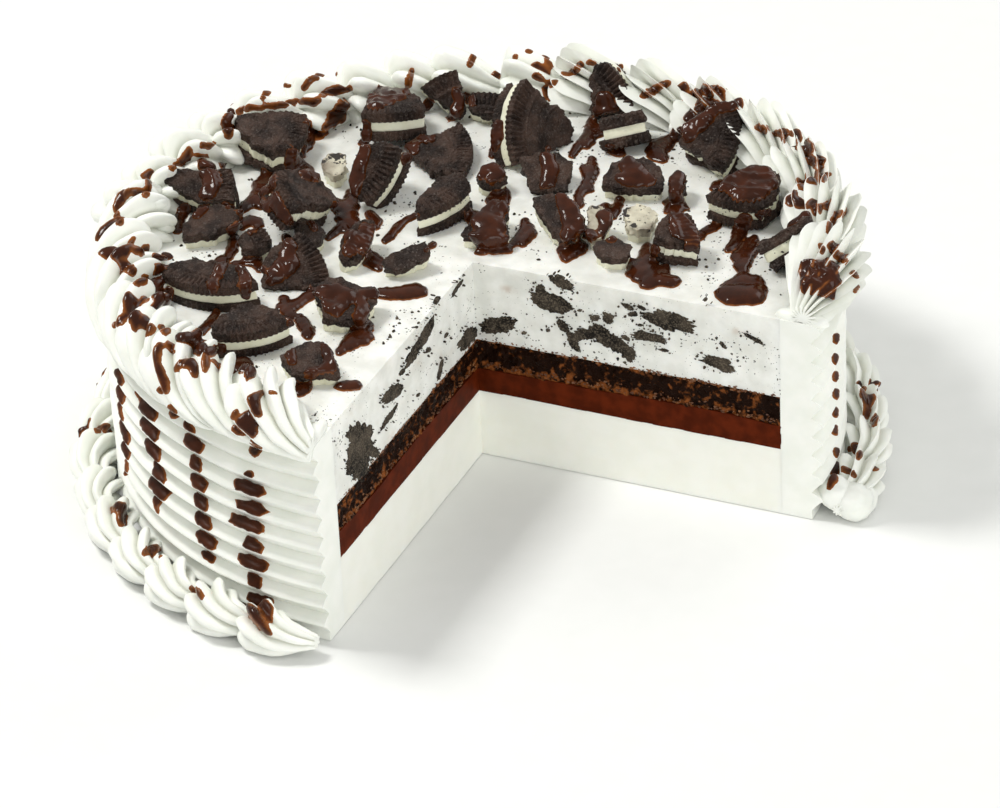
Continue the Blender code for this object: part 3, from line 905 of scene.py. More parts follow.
class SweepTree(GeometryTree):
    """Sweeps a ridged star along every spine: the piped shells."""

    NAME = "piped_shells"
    INPUTS = (
        ("Ridges", "Float", 6.0),
        ("Points", "Int", 84),
        ("Depth", "Float", 0.22),
        ("Sharpness", "Float", 0.0),
        ("Head Tips", "Float", 0.0015),
        ("Wander", "Float", 0.0004),
    )

    def lay(self, work: NodeWork, ins: bpy.types.NodeOutputs) -> bpy.types.NodeSocket:
        """Adds the tree's own nodes and returns their geometry; ins are the tree's inputs."""
        along = work.add("GeometryNodeSplineParameter").outputs["Factor"]
        tangent = work.add("GeometryNodeInputTangent").outputs["Tangent"]
        level = work.add("GeometryNodeSetCurveNormal", {"Curve": ins["Geometry"]}, mode="Z_UP")
        spine = self.store(work, level.outputs["Curve"], "along", "FLOAT", along)
        spine = self.store(work, spine, "ahead", "FLOAT_VECTOR", tangent)
        star = work.add("GeometryNodeCurvePrimitiveCircle",
                        {"Resolution": ins["Points"], "Radius": 1.0})
        turn = work.math("MULTIPLY", along, math.pi)
        wave = work.math("MULTIPLY", turn, ins["Ridges"])
        groove = work.math("SUBTRACT", 1.0, work.math("ABSOLUTE", work.math("COSINE", wave)))
        blade = work.math("ABSOLUTE", work.math("SINE", wave))
        mixed = work.math("SUBTRACT", blade, groove)
        mixed = work.math("MULTIPLY_ADD", mixed, ins["Sharpness"], groove)
        reach = work.math("SUBTRACT", 1.0, work.math("MULTIPLY", mixed, ins["Depth"]))
        here = work.add("GeometryNodeInputPosition").outputs["Position"]
        shaped = work.add("GeometryNodeSetPosition", {"Geometry": star.outputs["Curve"],
                                                      "Position": work.scaled(here, reach)})
        # the stored dip also sets the painted groove shade in the icing's colour
        shaped = self.store(work, shaped.outputs["Geometry"], "dip", "FLOAT", mixed)
        radius = work.add("GeometryNodeInputRadius").outputs["Radius"]
        swept = work.add("GeometryNodeCurveToMesh", {"Curve": spine, "Profile Curve": shaped,
                                                     "Scale": radius, "Fill Caps": True})
        place = self.read(work, "along", "FLOAT")
        crest = work.math("SUBTRACT", 1.0, self.read(work, "dip", "FLOAT"))
        head = work.span(place, 0.42, 0.02)
        pull = work.math("MULTIPLY", work.math("MULTIPLY", crest, head), ins["Head Tips"])
        pull = work.math("MULTIPLY", pull, -1.0)
        tips = work.scaled(self.read(work, "ahead", "FLOAT_VECTOR"), pull)
        swing = work.noise(here, 150.0, 2.0).outputs["Color"]
        swing = work.scaled(work.vector("SUBTRACT", swing, (0.5, 0.5, 0.5)), ins["Wander"])
        moved = work.add("GeometryNodeSetPosition", {"Geometry": swept.outputs["Mesh"],
                                                     "Offset": work.vector("ADD", tips, swing)})
        return moved.outputs["Geometry"]

    @staticmethod
    def store(work: NodeWork, geometry: object, name: str, kind: str, value: object) -> object:
        """Stores a value on every point; returns the geometry socket."""
        node = work.add("GeometryNodeStoreNamedAttribute", data_type=kind, domain="POINT")
        work.tree.links.new(geometry, node.inputs["Geometry"])
        node.inputs["Name"].default_value = name
        socket = next(s for s in node.inputs if s.enabled and s.name == "Value")
        work.tree.links.new(value, socket)
        return node.outputs["Geometry"]

    @staticmethod
    def read(work: NodeWork, name: str, kind: str) -> bpy.types.NodeSocket:
        """Reads a stored value back; returns its socket."""
        node = work.add("GeometryNodeInputNamedAttribute", {"Name": name}, data_type=kind)
        return next(s for s in node.outputs if s.enabled and s.name == "Attribute")


@dataclass
class ShellRow:
    """A row of piped shells on one side of the cake."""

    name: str
    azimuths: tuple[float, ...]
    spine: tuple[tuple[float, float, float, float], ...]
    heading: int
    ridges: float
    depth: float
    sharpness: float
    head_tips: float
    twist: float
    steps: int = 44
    points: int = 84
    first: int = 0
    spacing: float = 9.5  # degrees from shell to shell at which a shell has its usual length

    def widths(self) -> list[float]:
        """How much longer or shorter than usual each shell is, from the room it has."""
        room = np.gradient(np.array(self.azimuths, float))
        return (0.5 + 0.5 * room / self.spacing).tolist()

    def build(self, tree: SweepTree, shop: Workshop) -> bpy.types.Object:
        """Makes the row.

        Args:
            tree: the shared sweep.
            shop: where it is made.

        Returns:
            The row as a plain mesh.
        """
        curve = bpy.data.curves.new(self.name, "CURVE")
        curve.dimensions = "3D"
        knots = np.array(self.spine)
        chance = np.random.default_rng(5 + self.first)
        for i, (azimuth, width) in enumerate(zip(self.azimuths, self.widths())):
            size = 1.0 + 0.045 * math.sin(2.4 * (i + self.first)) + 0.03 * chance.uniform(-1.0, 1.0)
            share = np.linspace(0.0, 1.0, self.steps)
            share = 0.5 - 0.5 * np.cos(math.pi * share) * (0.55 + 0.45 * np.abs(2 * share - 1))
            share = (share - share[0]) / (share[-1] - share[0])
            line = np.array([smooth_path(knots, s) for s in share])
            line[:, 2] = knots[0, 2] + (line[:, 2] - knots[0, 2]) * size
            angle = azimuth + self.heading * width * np.degrees(line[:, 0] / knots[2, 1])
            places = turned(line[:, 1], angle, line[:, 2])
            half = shell_swell(share, knots, size)
            spline = curve.splines.new("POLY")
            spline.points.add(self.steps - 1)
            tilt = chance.uniform(-0.35, 0.35)
            twist = self.twist * chance.uniform(0.8, 1.2)
            for k, point in enumerate(spline.points):
                point.co = (*(places[k] * MM), 1.0)
                point.radius = max(half[k] * MM, 0.00003)
                point.tilt = tilt + twist * share[k]
        obj = put(self.name, curve)
        values = {
            "Ridges": float(self.ridges), "Points": self.points, "Depth": self.depth,
            "Sharpness": self.sharpness, "Head Tips": self.head_tips * MM, "Wander": 0.0011,
            "Material": shop.pantry.of("icing"),
        }
        return tree.run(obj, values, shop)


def smooth_path(knots: np.ndarray, share: float) -> np.ndarray:
    """A point of a smooth curve through knots, at a share from 0 to 1 of its length."""
    count = len(knots) - 1
    at = min(share * count, count - 1e-9)
    i = int(at)
    t = at - i
    p0, p1 = knots[max(i - 1, 0)], knots[i]
    p2, p3 = knots[i + 1], knots[min(i + 2, count)]
    return 0.5 * (2 * p1 + (p2 - p0) * t + (2 * p0 - 5 * p1 + 4 * p2 - p3) * t * t
                  + (3 * p1 - p0 - 3 * p2 + p3) * t**3)


def shell_swell(share: np.ndarray, knots: np.ndarray, size: float) -> np.ndarray:
    """Half size of a shell along its spine: a round head and a long taper."""
    widest = knots[:, 3].max() * size
    full = 0.3
    head = np.sqrt(np.clip(1.0 - (1.0 - np.clip(share / full, 0.0, 1.0)) ** 2, 0.0, 1.0))
    tail = np.clip((1.0 - share) / (1.0 - full), 0.0, 1.0) ** 0.95
    return widest * 1.03 * np.where(share < full, head, tail)


@dataclass
class PipedBorder:
    """A border made of rows of shells, cut off at the two cut faces and at the ground."""

    name: str
    rows: tuple[ShellRow, ...]
    smears: tuple[tuple[tuple[float, ...], tuple[float, ...]], ...]
    floor: float = -5.0
    gap: float = 0.15  # how far the icing stays from the planes of the cut faces

    def build(self, tree: SweepTree, shop: Workshop) -> bpy.types.Object:
        """Makes the border; tree is the shared sweep, shop is where it is made."""
        bm = bmesh.new()
        for row in self.rows:
            part = row.build(tree, shop)
            bm.from_mesh(part.data)
            bpy.data.objects.remove(part, do_unlink=True)
        for body in islands(bm):
            self.cut_ends(bm, body)
        self.smear(bm)
        bmesh.ops.recalc_face_normals(bm, faces=bm.faces)
        mesh = settled(bm, self.name + "_look")
        mesh.materials.append(shop.pantry.of("icing"))
        mesh.polygons.foreach_set("material_index", [0] * len(mesh.polygons))
        return shop.keep(put(self.name + "_look", mesh), "icing", self.name)

    def smear(self, bm: bmesh.types.BMesh) -> None:
        """Adds the icing that the knife smeared at the last shells by the cut faces."""
        for middle, reach in self.smears:
            place = Matrix.Translation(Vector(middle) * MM) @ Matrix.Diagonal((*reach, 1.0))
            made = bmesh.ops.create_uvsphere(bm, u_segments=40, v_segments=20, radius=MM,
                                             matrix=place)
            skin = np.array([v.co for v in made["verts"]]) / MM
            ruts = drift(skin * (1.0, 1.0, 3.0), 2.0, 52)
            scale = 1.0 + 0.16 * rough(skin, 5.0, 3, 51) + 0.05 * ruts
            skin = np.array(middle) + (skin - middle) * scale[:, None]
            skin[:, 2] = np.maximum(skin[:, 2], self.floor + 0.1)
            for vert, spot in zip(made["verts"], skin):
                vert.co = Vector(spot) * MM
                if vert.co.x > 0.0 and -0.01 < vert.co.y < self.gap * MM:
                    vert.co.y = self.gap * MM
                if vert.co.y < 0.0 and vert.co.x > -self.gap * MM:
                    vert.co.x = -self.gap * MM

    def cut_ends(self, bm: bmesh.types.BMesh, body: list[bmesh.types.BMVert]) -> None:
        """Cuts one shell where it crosses a cut face or the ground."""
        middle = sum((v.co for v in body), Vector()) / len(body)
        out, near = 0.06, 0.03  # metres from the axis, and to the plane of a cut face
        planes = []
        if middle.y < -out and abs(middle.x) < near:
            planes.append((Vector((-self.gap * MM, 0.0, 0.0)), Vector((1.0, 0.0, 0.0))))
        if middle.x > out and abs(middle.y) < near:
            planes.append((Vector((0.0, self.gap * MM, 0.0)), Vector((0.0, -1.0, 0.0))))
        if min(v.co.z for v in body) < self.floor * MM:
            planes.append((Vector((0.0, 0.0, self.floor * MM)), Vector((0.0, 0.0, -1.0))))
        for place, outward in planes:
            live = [v for v in body if v.is_valid]
            edges = list({e for v in live for e in v.link_edges})
            faces = list({f for v in live for f in v.link_faces})
            trim(bm, live + edges + faces, place, outward, True)
            body = [v for v in body if v.is_valid]


@dataclass(frozen=True)
class Chunk:
    """One broken piece of a sandwich cookie, placed as its solid is.

    at: the cookie's middle on its upper face; lean: tilt of that face from level; toward: azimuth
    it tilts to; layers: 3 is wafer, filling, wafer, 2 is wafer and filling, 1 is a bare wafer;
    arc: the part of the rim that is left; breaks: the broken edge, as angle and radius.
    """

    name: str
    at: tuple[float, float, float]
    lean: float
    toward: float
    layers: int
    arc: tuple[float, float] | None
    breaks: list[tuple[float, float]]

    def pose(self) -> np.ndarray:
        """The 4 by 4 matrix, in millimetres, that puts the flat chunk in its place."""
        turn = Matrix.Rotation(math.radians(self.toward), 4, "Z")
        tilt = Matrix.Rotation(math.radians(self.lean), 4, "Y")
        back = Matrix.Rotation(math.radians(-self.toward), 4, "Z")
        return np.array(Matrix.Translation(Vector(self.at)) @ turn @ tilt @ back)


CHUNKS = tuple(Chunk(f"cookie_{n:02d}", *row) for n, row in enumerate((
    ((-87.9, 31.7, 73.0), 12, -14, 3, (37, -5), [(-26, 18.5), (-41, 7), (69, 2.5), (50, 10),
     (43, 17.5)]),
    ((-91.3, -7.8, 68.4), 20, -79, 3, (42, 13), [(8, 15.5), (18, 9.5), (74, 5), (106, 9),
     (76, 11), (53, 15.5)]),
    ((-71.8, -12.1, 67.0), 12, -64, 2, None, [(-137, 8.5), (180, 6), (130, 6), (92, 6.5), (59, 8),
     (42, 8.5), (12, 6.5), (-39, 5), (-94, 6.5), (-114, 10.5)]),
    ((-69.0, -29.7, 66.3), 10, -44, 2, (56, 39), [(32, 18), (32, 14), (52, 14), (61, 18)]),
    ((-58.6, -26.6, 70.9), 6, -94, 3, (-45, -112), [(-121, 22), (-128, 19.5), (-127, 15),
     (-120, 12), (-102, 10.5), (-72, 11), (-48, 14)]),
    ((-50.2, -35.0, 62.5), 30, -64, 1, (71, 23), [(19, 14), (24, 4), (84, 8.5), (83, 14.5),
     (77, 19)]),
    ((-47.1, -47.8, 71.6), 8, -49, 3, (-20, -78), [(-81, 16.5), (-68, 11), (-48, 9.5),
     (-26, 12.5), (-21, 16)]),
    ((-15.1, -67.6, 67.1), 14, -64, 2, None, [(-165, 8), (167, 6), (128, 5.5), (94, 6.5), (58, 6),
     (11, 6.5), (-18, 9), (-67, 6.5), (-110, 8.5)]),
    ((-18.7, -37.7, 67.5), 12, -44, 2, None, [(-175, 10), (152, 9.5), (119, 7), (75, 5.5),
     (54, 9), (13, 7.5), (-39, 8.5), (-69, 10), (-104, 10)]),
    ((-41.8, 8.8, 65.3), 34, 31, 3, (-154, -108), [(-114, 11.5), (-124, 4), (151, 3.5),
     (146, 8.5), (155, 13), (168, 16.5), (-172, 18.5)]),
    ((-44.2, -8.4, 66.5), 10, -64, 2, None, [(171, 4), (132, 5), (90, 5), (31, 3.5), (-26, 5),
     (-75, 5.5), (-112, 4.5)]),
    ((-46.8, -12.1, 72.3), 20, -34, 2, (28, -10), [(-19, 20), (-16, 16.5), (2, 14), (24, 16),
     (31, 19)]),
    ((-13.6, -11.9, 66.3), 28, -64, 2, None, [(-147, 6.5), (-178, 4), (109, 3.5), (70, 6.5),
     (45, 7), (16, 5), (-37, 3), (-98, 4.5), (-123, 6.5)]),
    ((-54.1, 28.1, 66.4), 8, -64, 2, None, [(174, 4), (129, 5.5), (91, 5), (28, 4), (-34, 5),
     (-70, 5.5), (-115, 4)]),
    ((-56.9, 67.9, 69.2), 10, 111, 3, (-35, -83), [(-91, 12), (-131, 4.5), (45, 1), (8, 7),
     (-20, 13.5)]),
    ((-53.7, 25.2, 73.7), 50, -104, 3, (0, -48), [(-54, 17), (-38, 11), (-12, 8.5), (4, 11.5),
     (5, 17)]),
    ((-42.5, 41.6, 65.4), 10, -64, 1, (58, -3), [(-17, 16), (-5, 8.5), (65, 5), (64, 9.5),
     (53, 15)]),
    ((-29.2, 66.7, 57.2), 48, -54, 2, (160, 131), [(128, 14.5), (130, 9.5), (148, 8), (154, 13),
     (159, 18)]),
    ((-23.4, 57.5, 59.6), 24, -64, 2, (120, 89), [(88, 18), (97, 14.5), (113, 14.5), (123, 17)]),
    ((-1.3, 69.4, 61.8), 62, -14, 3, (-110, -180), [(171, 13), (151, 9), (122, 5.5), (100, 3.5),
     (-58, 1), (-107, 6.5), (-115, 14)]),
    ((2.7, 45.1, 65.4), 28, -64, 1, None, [(167, 9), (131, 7), (93, 7), (50, 7.5), (4, 6.5),
     (-23, 7.5), (-74, 6.5), (-103, 7.5), (-148, 6.5)]),
    ((-33.0, 23.8, 70.6), 6, -84, 3, (-52, 0), [(15, 17.5), (8, 14.5), (-4, 12.5), (-21, 13),
     (-36, 13.5), (-47, 17.5)]),
    ((-0.1, 11.9, 66.9), 12, -64, 2, None, [(-130, 8), (-165, 4.5), (130, 5.5), (101, 10),
     (71, 7.5), (17, 4.5), (-19, 7.5), (-64, 6.5), (-98, 7.5)]),
    ((-9.0, 81.5, 59.1), 62, -89, 3, (64, 22), [(22, 16.5), (22, 9.5), (55, 12), (71, 18.5)]),
    ((6.3, 89.4, 61.7), 28, 136, 3, (-48, -82), [(-88, 15), (-62, 10.5), (-42, 15)]),
    ((27.0, 48.8, 67.1), 16, -64, 2, None, [(-159, 8.5), (162, 7.5), (121, 7.5), (75, 7.5),
     (44, 8), (6, 8.5), (-12, 9), (-52, 6), (-115, 7), (-135, 9)]),
    ((26.8, 69.6, 70.0), 34, -89, 3, (36, -24), [(-24, 14.5), (-27, 6), (12, 5.5), (36, 9),
     (40, 13.5), (38, 18)]),
    ((59.0, 60.0, 73.4), 10, -64, 3, (-107, -66), [(-49, 16.5), (-33, 10), (-36, 5.5), (-78, 5),
     (-105, 10.5), (-108, 17)]),
    ((17.1, 20.1, 68.2), 18, -64, 2, None, [(163, 9), (135, 8), (102, 7.5), (53, 6), (-4, 7.5),
     (-37, 9), (-62, 9), (-97, 5), (-164, 6)]),
    ((37.4, 28.2, 66.6), 10, -64, 2, None, [(155, 6), (114, 6), (74, 5.5), (10, 4), (-40, 5.5),
     (-80, 6), (-121, 5.5)]),
    ((38.9, 8.8, 71.1), 18, -44, 3, (50, 20), [(22, 13.5), (31, 10), (55, 12.5), (61, 17)]),
    ((35.9, 11.1, 66.3), 12, -64, 2, None, [(174, 5), (137, 4), (78, 4), (31, 4.5), (7, 5),
     (-26, 4.5), (-72, 3.5), (-124, 3.5), (-163, 4.5)]),
    ((78.1, 29.0, 70.0), 40, 160, 3, None, [(60, 9), (30, 7.2), (-8, 9.6), (-40, 5.8), (-64, 5),
     (-90, 5.8), (-120, 9.2), (-155, 7.4), (172, 9), (140, 6), (100, 5.5)]),
    ((-10.7, 36.7, 66.5), 14, -64, 2, None, [(-140, 4.5), (161, 3), (99, 5), (33, 4.5),
     (-20, 3.5), (-84, 4)]),
    ((27.8, 22.3, 67.0), 14, -64, 2, None, [(144, 6.5), (111, 6.5), (66, 4), (-17, 3.5), (-66, 6),
     (-90, 6.5)]),
    ((39.8, 49.5, 66.4), 10, -64, 2, None, [(168, 3), (121, 5), (85, 4), (-6, 3), (-53, 4.5),
     (-94, 5)]),
), 1))


class Slab(Enum):
    """A layer of a sandwich cookie: a wafer, by its patterned side, or the filling."""

    TOP = "upper wafer"
    UNDER = "lower wafer"
    CREAM = "filling"


@dataclass
class Cookie:
    """The whole sandwich cookie that the chunks are broken from."""

    radius: float = 22.2
    wafer: float = 3.0
    filling: float = 2.6
    filling_in: float = 0.9
    bite: float = 0.05  # how far the filling reaches into each wafer
    ribs: int = 88
    rest: float = 59.8
    creamy: tuple[str, ...] = ("cookie_14", "cookie_30", "cookie_35")

    def relief(self, flat: np.ndarray) -> np.ndarray:
        """Height of the pressed pattern on a wafer's face; flat holds x, y."""
        r = np.hypot(flat[:, 0], flat[:, 1])
        turn = np.arctan2(flat[:, 1], flat[:, 0])
        rib = 0.5 + 0.5 * np.cos(self.ribs * turn)
        band = np.clip((r - 17.6) / 0.5, 0.0, 1.0) * np.clip((22.4 - r) / 0.4, 0.0, 1.0)
        height = 0.8 * band * (rib - 0.4)
        ring = np.exp(-(((r - 16.6) / 0.45) ** 2)) + np.exp(-(((r - 10.4) / 0.4) ** 2))
        height += 0.7 * ring
        leaf = np.cos(14.0 * turn) * np.exp(-(((r - 13.5) / 1.5) ** 2))
        height += 0.9 * np.clip(leaf - 0.2, 0.0, 1.0)
        petal = np.cos(8.0 * turn + 0.4) * np.exp(-(((r - 7.2) / 1.7) ** 2))
        height += 0.9 * np.clip(petal - 0.15, 0.0, 1.0)
        height += 0.35 * np.exp(-((r / 2.2) ** 2))
        return height - 0.25

    def outline(self, chunk: Chunk, seed: int) -> tuple[np.ndarray, np.ndarray]:
        """The chunk's edge, close set.

        Args:
            chunk: the chunk.
            seed: picks its own ragged break.

        Returns:
            Points x, y round the edge, and for each 1 where it is broken or 0 on the rim.
        """
        around: list[tuple[float, float]] = []
        if chunk.arc:
            start, end = chunk.arc
            steps = max(3, int(abs(end - start) * math.radians(1.0) * self.radius / 0.3))
            around = [(start + (end - start) * i / steps, self.radius) for i in range(steps + 1)]
        broken = [False] * len(around) + [True] * len(chunk.breaks)
        flat = np.array([(r * math.cos(math.radians(a)), r * math.sin(math.radians(a)))
                         for a, r in around + chunk.breaks])
        points, marks = [], []
        for i in range(len(flat)):
            k = (i + 1) % len(flat)
            run = np.linalg.norm(flat[k] - flat[i])
            pieces = 1 if not (broken[i] or broken[k]) else max(1, int(run / 0.5))
            for s in range(pieces):
                points.append(flat[i] + (flat[k] - flat[i]) * s / pieces)
                marks.append(1.0 if (broken[i] or (broken[k] and s > 0)) else 0.0)
        edge = np.array(points)
        mark = np.array(marks)
        if np.sum(edge[:, 0] * np.roll(edge[:, 1], -1) - np.roll(edge[:, 0], -1) * edge[:, 1]) < 0:
            edge, mark = edge[::-1], mark[::-1]
        for _ in range(3):
            near = 0.25 * (np.roll(edge, 1, 0) + np.roll(edge, -1, 0)) + 0.5 * edge
            edge = np.where(mark[:, None] > 0.5, near, edge)
        place = np.column_stack([edge, np.full(len(edge), 3.0 * seed)])
        push = (1.0 * rough(place, 3.6, 3, seed) + 0.45 * drift(place, 1.0, seed + 1)
                + 0.3 * drift(place, 0.5, seed + 7))
        middle = edge.mean(0)
        away = edge - middle
        away /= np.linalg.norm(away, axis=1)[:, None]
        return edge + away * (push * mark)[:, None], mark

    def slab(self, edge: np.ndarray, mark: np.ndarray, high: float, low: float, seed: int,
             kind: Slab) -> tuple[np.ndarray, list, np.ndarray]:
        """One layer of a chunk as a closed body of rings round its middle.

        Args:
            edge: its outline.
            mark: 1 where the outline is broken.
            high: upper face.
            low: lower face.
            seed: picks its roughness.
            kind: which layer it is.

        Returns:
            Points, faces and for each point how broken it is.
        """
        count = len(edge)
        middle = edge.mean(0)
        wafer = kind is not Slab.CREAM
        upper = 22 if kind is Slab.TOP else 6
        lower = 16 if kind is Slab.UNDER else 5
        rings = [((k / upper) ** 0.85, high) for k in range(1, upper)]
        inset = 1.0 - 0.35 / 9.0 if wafer else 0.985
        sides = [(inset, high), (1.0, high - 0.35)] if wafer else [(inset, high)]
        levels = 5 if wafer else 4
        sides += [(1.0, high - 0.35 + (low + 0.7 - high) * (k + 1) / levels) for k in range(levels)]
        sides.append((inset, low))
        under = [((k / lower) ** 0.85, low) for k in range(lower - 1, 0, -1)]
        points, broken = [], []
        total = rings + sides + under
        for n, (share, z) in enumerate(total):
            flat = middle + (edge - middle) * share
            place = np.column_stack([flat, np.full(count, z)])
            side = len(rings) <= n < len(rings) + len(sides)
            if side:
                away = flat - middle
                away /= np.linalg.norm(away, axis=1)[:, None]
                if wafer:
                    push = 0.8 * rough(place, 2.4, 3, seed + 2) + 0.45 * drift(place, 0.8, seed + 4)
                    turn = np.arctan2(place[:, 1], place[:, 0])
                    out = mark * push + (1.0 - mark) * (0.22 * (np.cos(self.ribs * turn) - 1.0))
                else:
                    out = mark * (0.35 * rough(place, 3.0, 2, seed + 2) + 0.1)
                place[:, :2] += away * out[:, None]
            if z == high and kind is Slab.TOP:
                place[:, 2] += self.relief(place[:, :2]) - 0.15 * mark * side
            if z == low and kind is Slab.UNDER:
                place[:, 2] -= self.relief(place[:, :2])
            place[:, 2] += (0.06 if wafer else 0.12) * rough(place, 1.6, 2, seed + 6)
            points.append(place)
            broken.append(mark if side else mark * (share > 0.93))
        tops = np.array([[*middle, high], [*middle, low]])
        if kind is Slab.TOP:
            tops[0, 2] += self.relief(tops[:1, :2])[0]
        elif kind is Slab.UNDER:
            tops[1, 2] -= self.relief(tops[:1, :2])[0]
        faces = ring_faces(count, len(total))
        return np.vstack([*points, tops]), faces, np.concatenate([*broken, np.zeros(2)])

    def build(self, chunk: Chunk, shop: Workshop) -> bpy.types.Object:
        """Makes one chunk; shop is where it is made. Returns the object."""
        seed = 40 + int(chunk.name[-2:])
        edge, mark = self.outline(chunk, seed)
        middle = edge.mean(0)
        far = np.linalg.norm(edge - middle, axis=1)[:, None]
        inset = middle + (edge - middle) * (far - self.filling_in * mark[:, None] * 0.6
                                            - self.filling_in * (1 - mark[:, None])) / far
        deep = self.wafer + self.filling
        slabs = [self.slab(edge, mark, 0.0, -self.wafer, seed, Slab.TOP)]
        if chunk.layers > 1:
            full = np.ones(len(edge))
            high, low = -self.wafer + self.bite, -deep - self.bite
            slabs.append(self.slab(inset, full, high, low, seed + 1, Slab.CREAM))
        if chunk.layers > 2:
            other, marks = self.outline(chunk, seed + 9)
            slabs.append(self.slab(other, marks, -deep, -deep - self.wafer, seed + 3, Slab.UNDER))
        pose = chunk.pose()
        points, faces = stacked([(s[0] @ pose[:3, :3].T + pose[:3, 3], s[1]) for s in slabs])
        picks = [n % 2 for n, s in enumerate(slabs) for _ in s[1]]  # the second slab is filling
        upper = "crumbed_filling" if chunk.name in self.creamy else "wafer"
        obj = shop.mesh(chunk.name + "_look", points, faces, (upper, "filling"), picks)
        shop.mark(obj, "broken", np.concatenate([s[2] for s in slabs]))
        bm = bmesh.new()
        bm.from_mesh(obj.data)
        if min(v.co.z for v in bm.verts) < self.rest * MM:
            geom = list(bm.verts) + list(bm.edges) + list(bm.faces)
            trim(bm, geom, Vector((0.0, 0.0, self.rest * MM)), Vector((0.0, 0.0, -1.0)))
        bmesh.ops.recalc_face_normals(bm, faces=bm.faces)
        bm.to_mesh(obj.data)
        bm.free()
        return shop.keep(obj, "cookie", chunk.name)


@dataclass(frozen=True)
class Eye:
    """The photograph's viewpoint: its place, the point it looks at, its roll and its lens."""

    place: tuple[float, float, float] = (482.075, -1005.639, 704.882)
    target: tuple[float, float, float] = (-5.809, 25.091, 0.0)
    roll: float = -2.84
    lens: float = 172.605
    sensor: float = 36.0
    width: int = 1000
    height: int = 808

    def axes(self) -> Matrix:
        """Right, up and back of the view as the columns of a rotation."""
        back = (Vector(self.place) - Vector(self.target)).normalized()
        level = back.to_track_quat("Z", "Y").to_matrix()
        return level @ Matrix.Rotation(math.radians(self.roll), 3, "Z")

    def ray(self, u: float, v: float) -> Vector:
        """Direction from the eye through a pixel of the photograph."""
        reach = self.lens / self.sensor * self.width
        flat = Vector(((u - self.width / 2.0) / reach, -(v - self.height / 2.0) / reach, -1.0))
        return (self.axes() @ flat).normalized()


# Poured sauce, each stroke as a row of places in the photograph: across, down, half width

Stroke = tuple[tuple[float, float, float], ...]

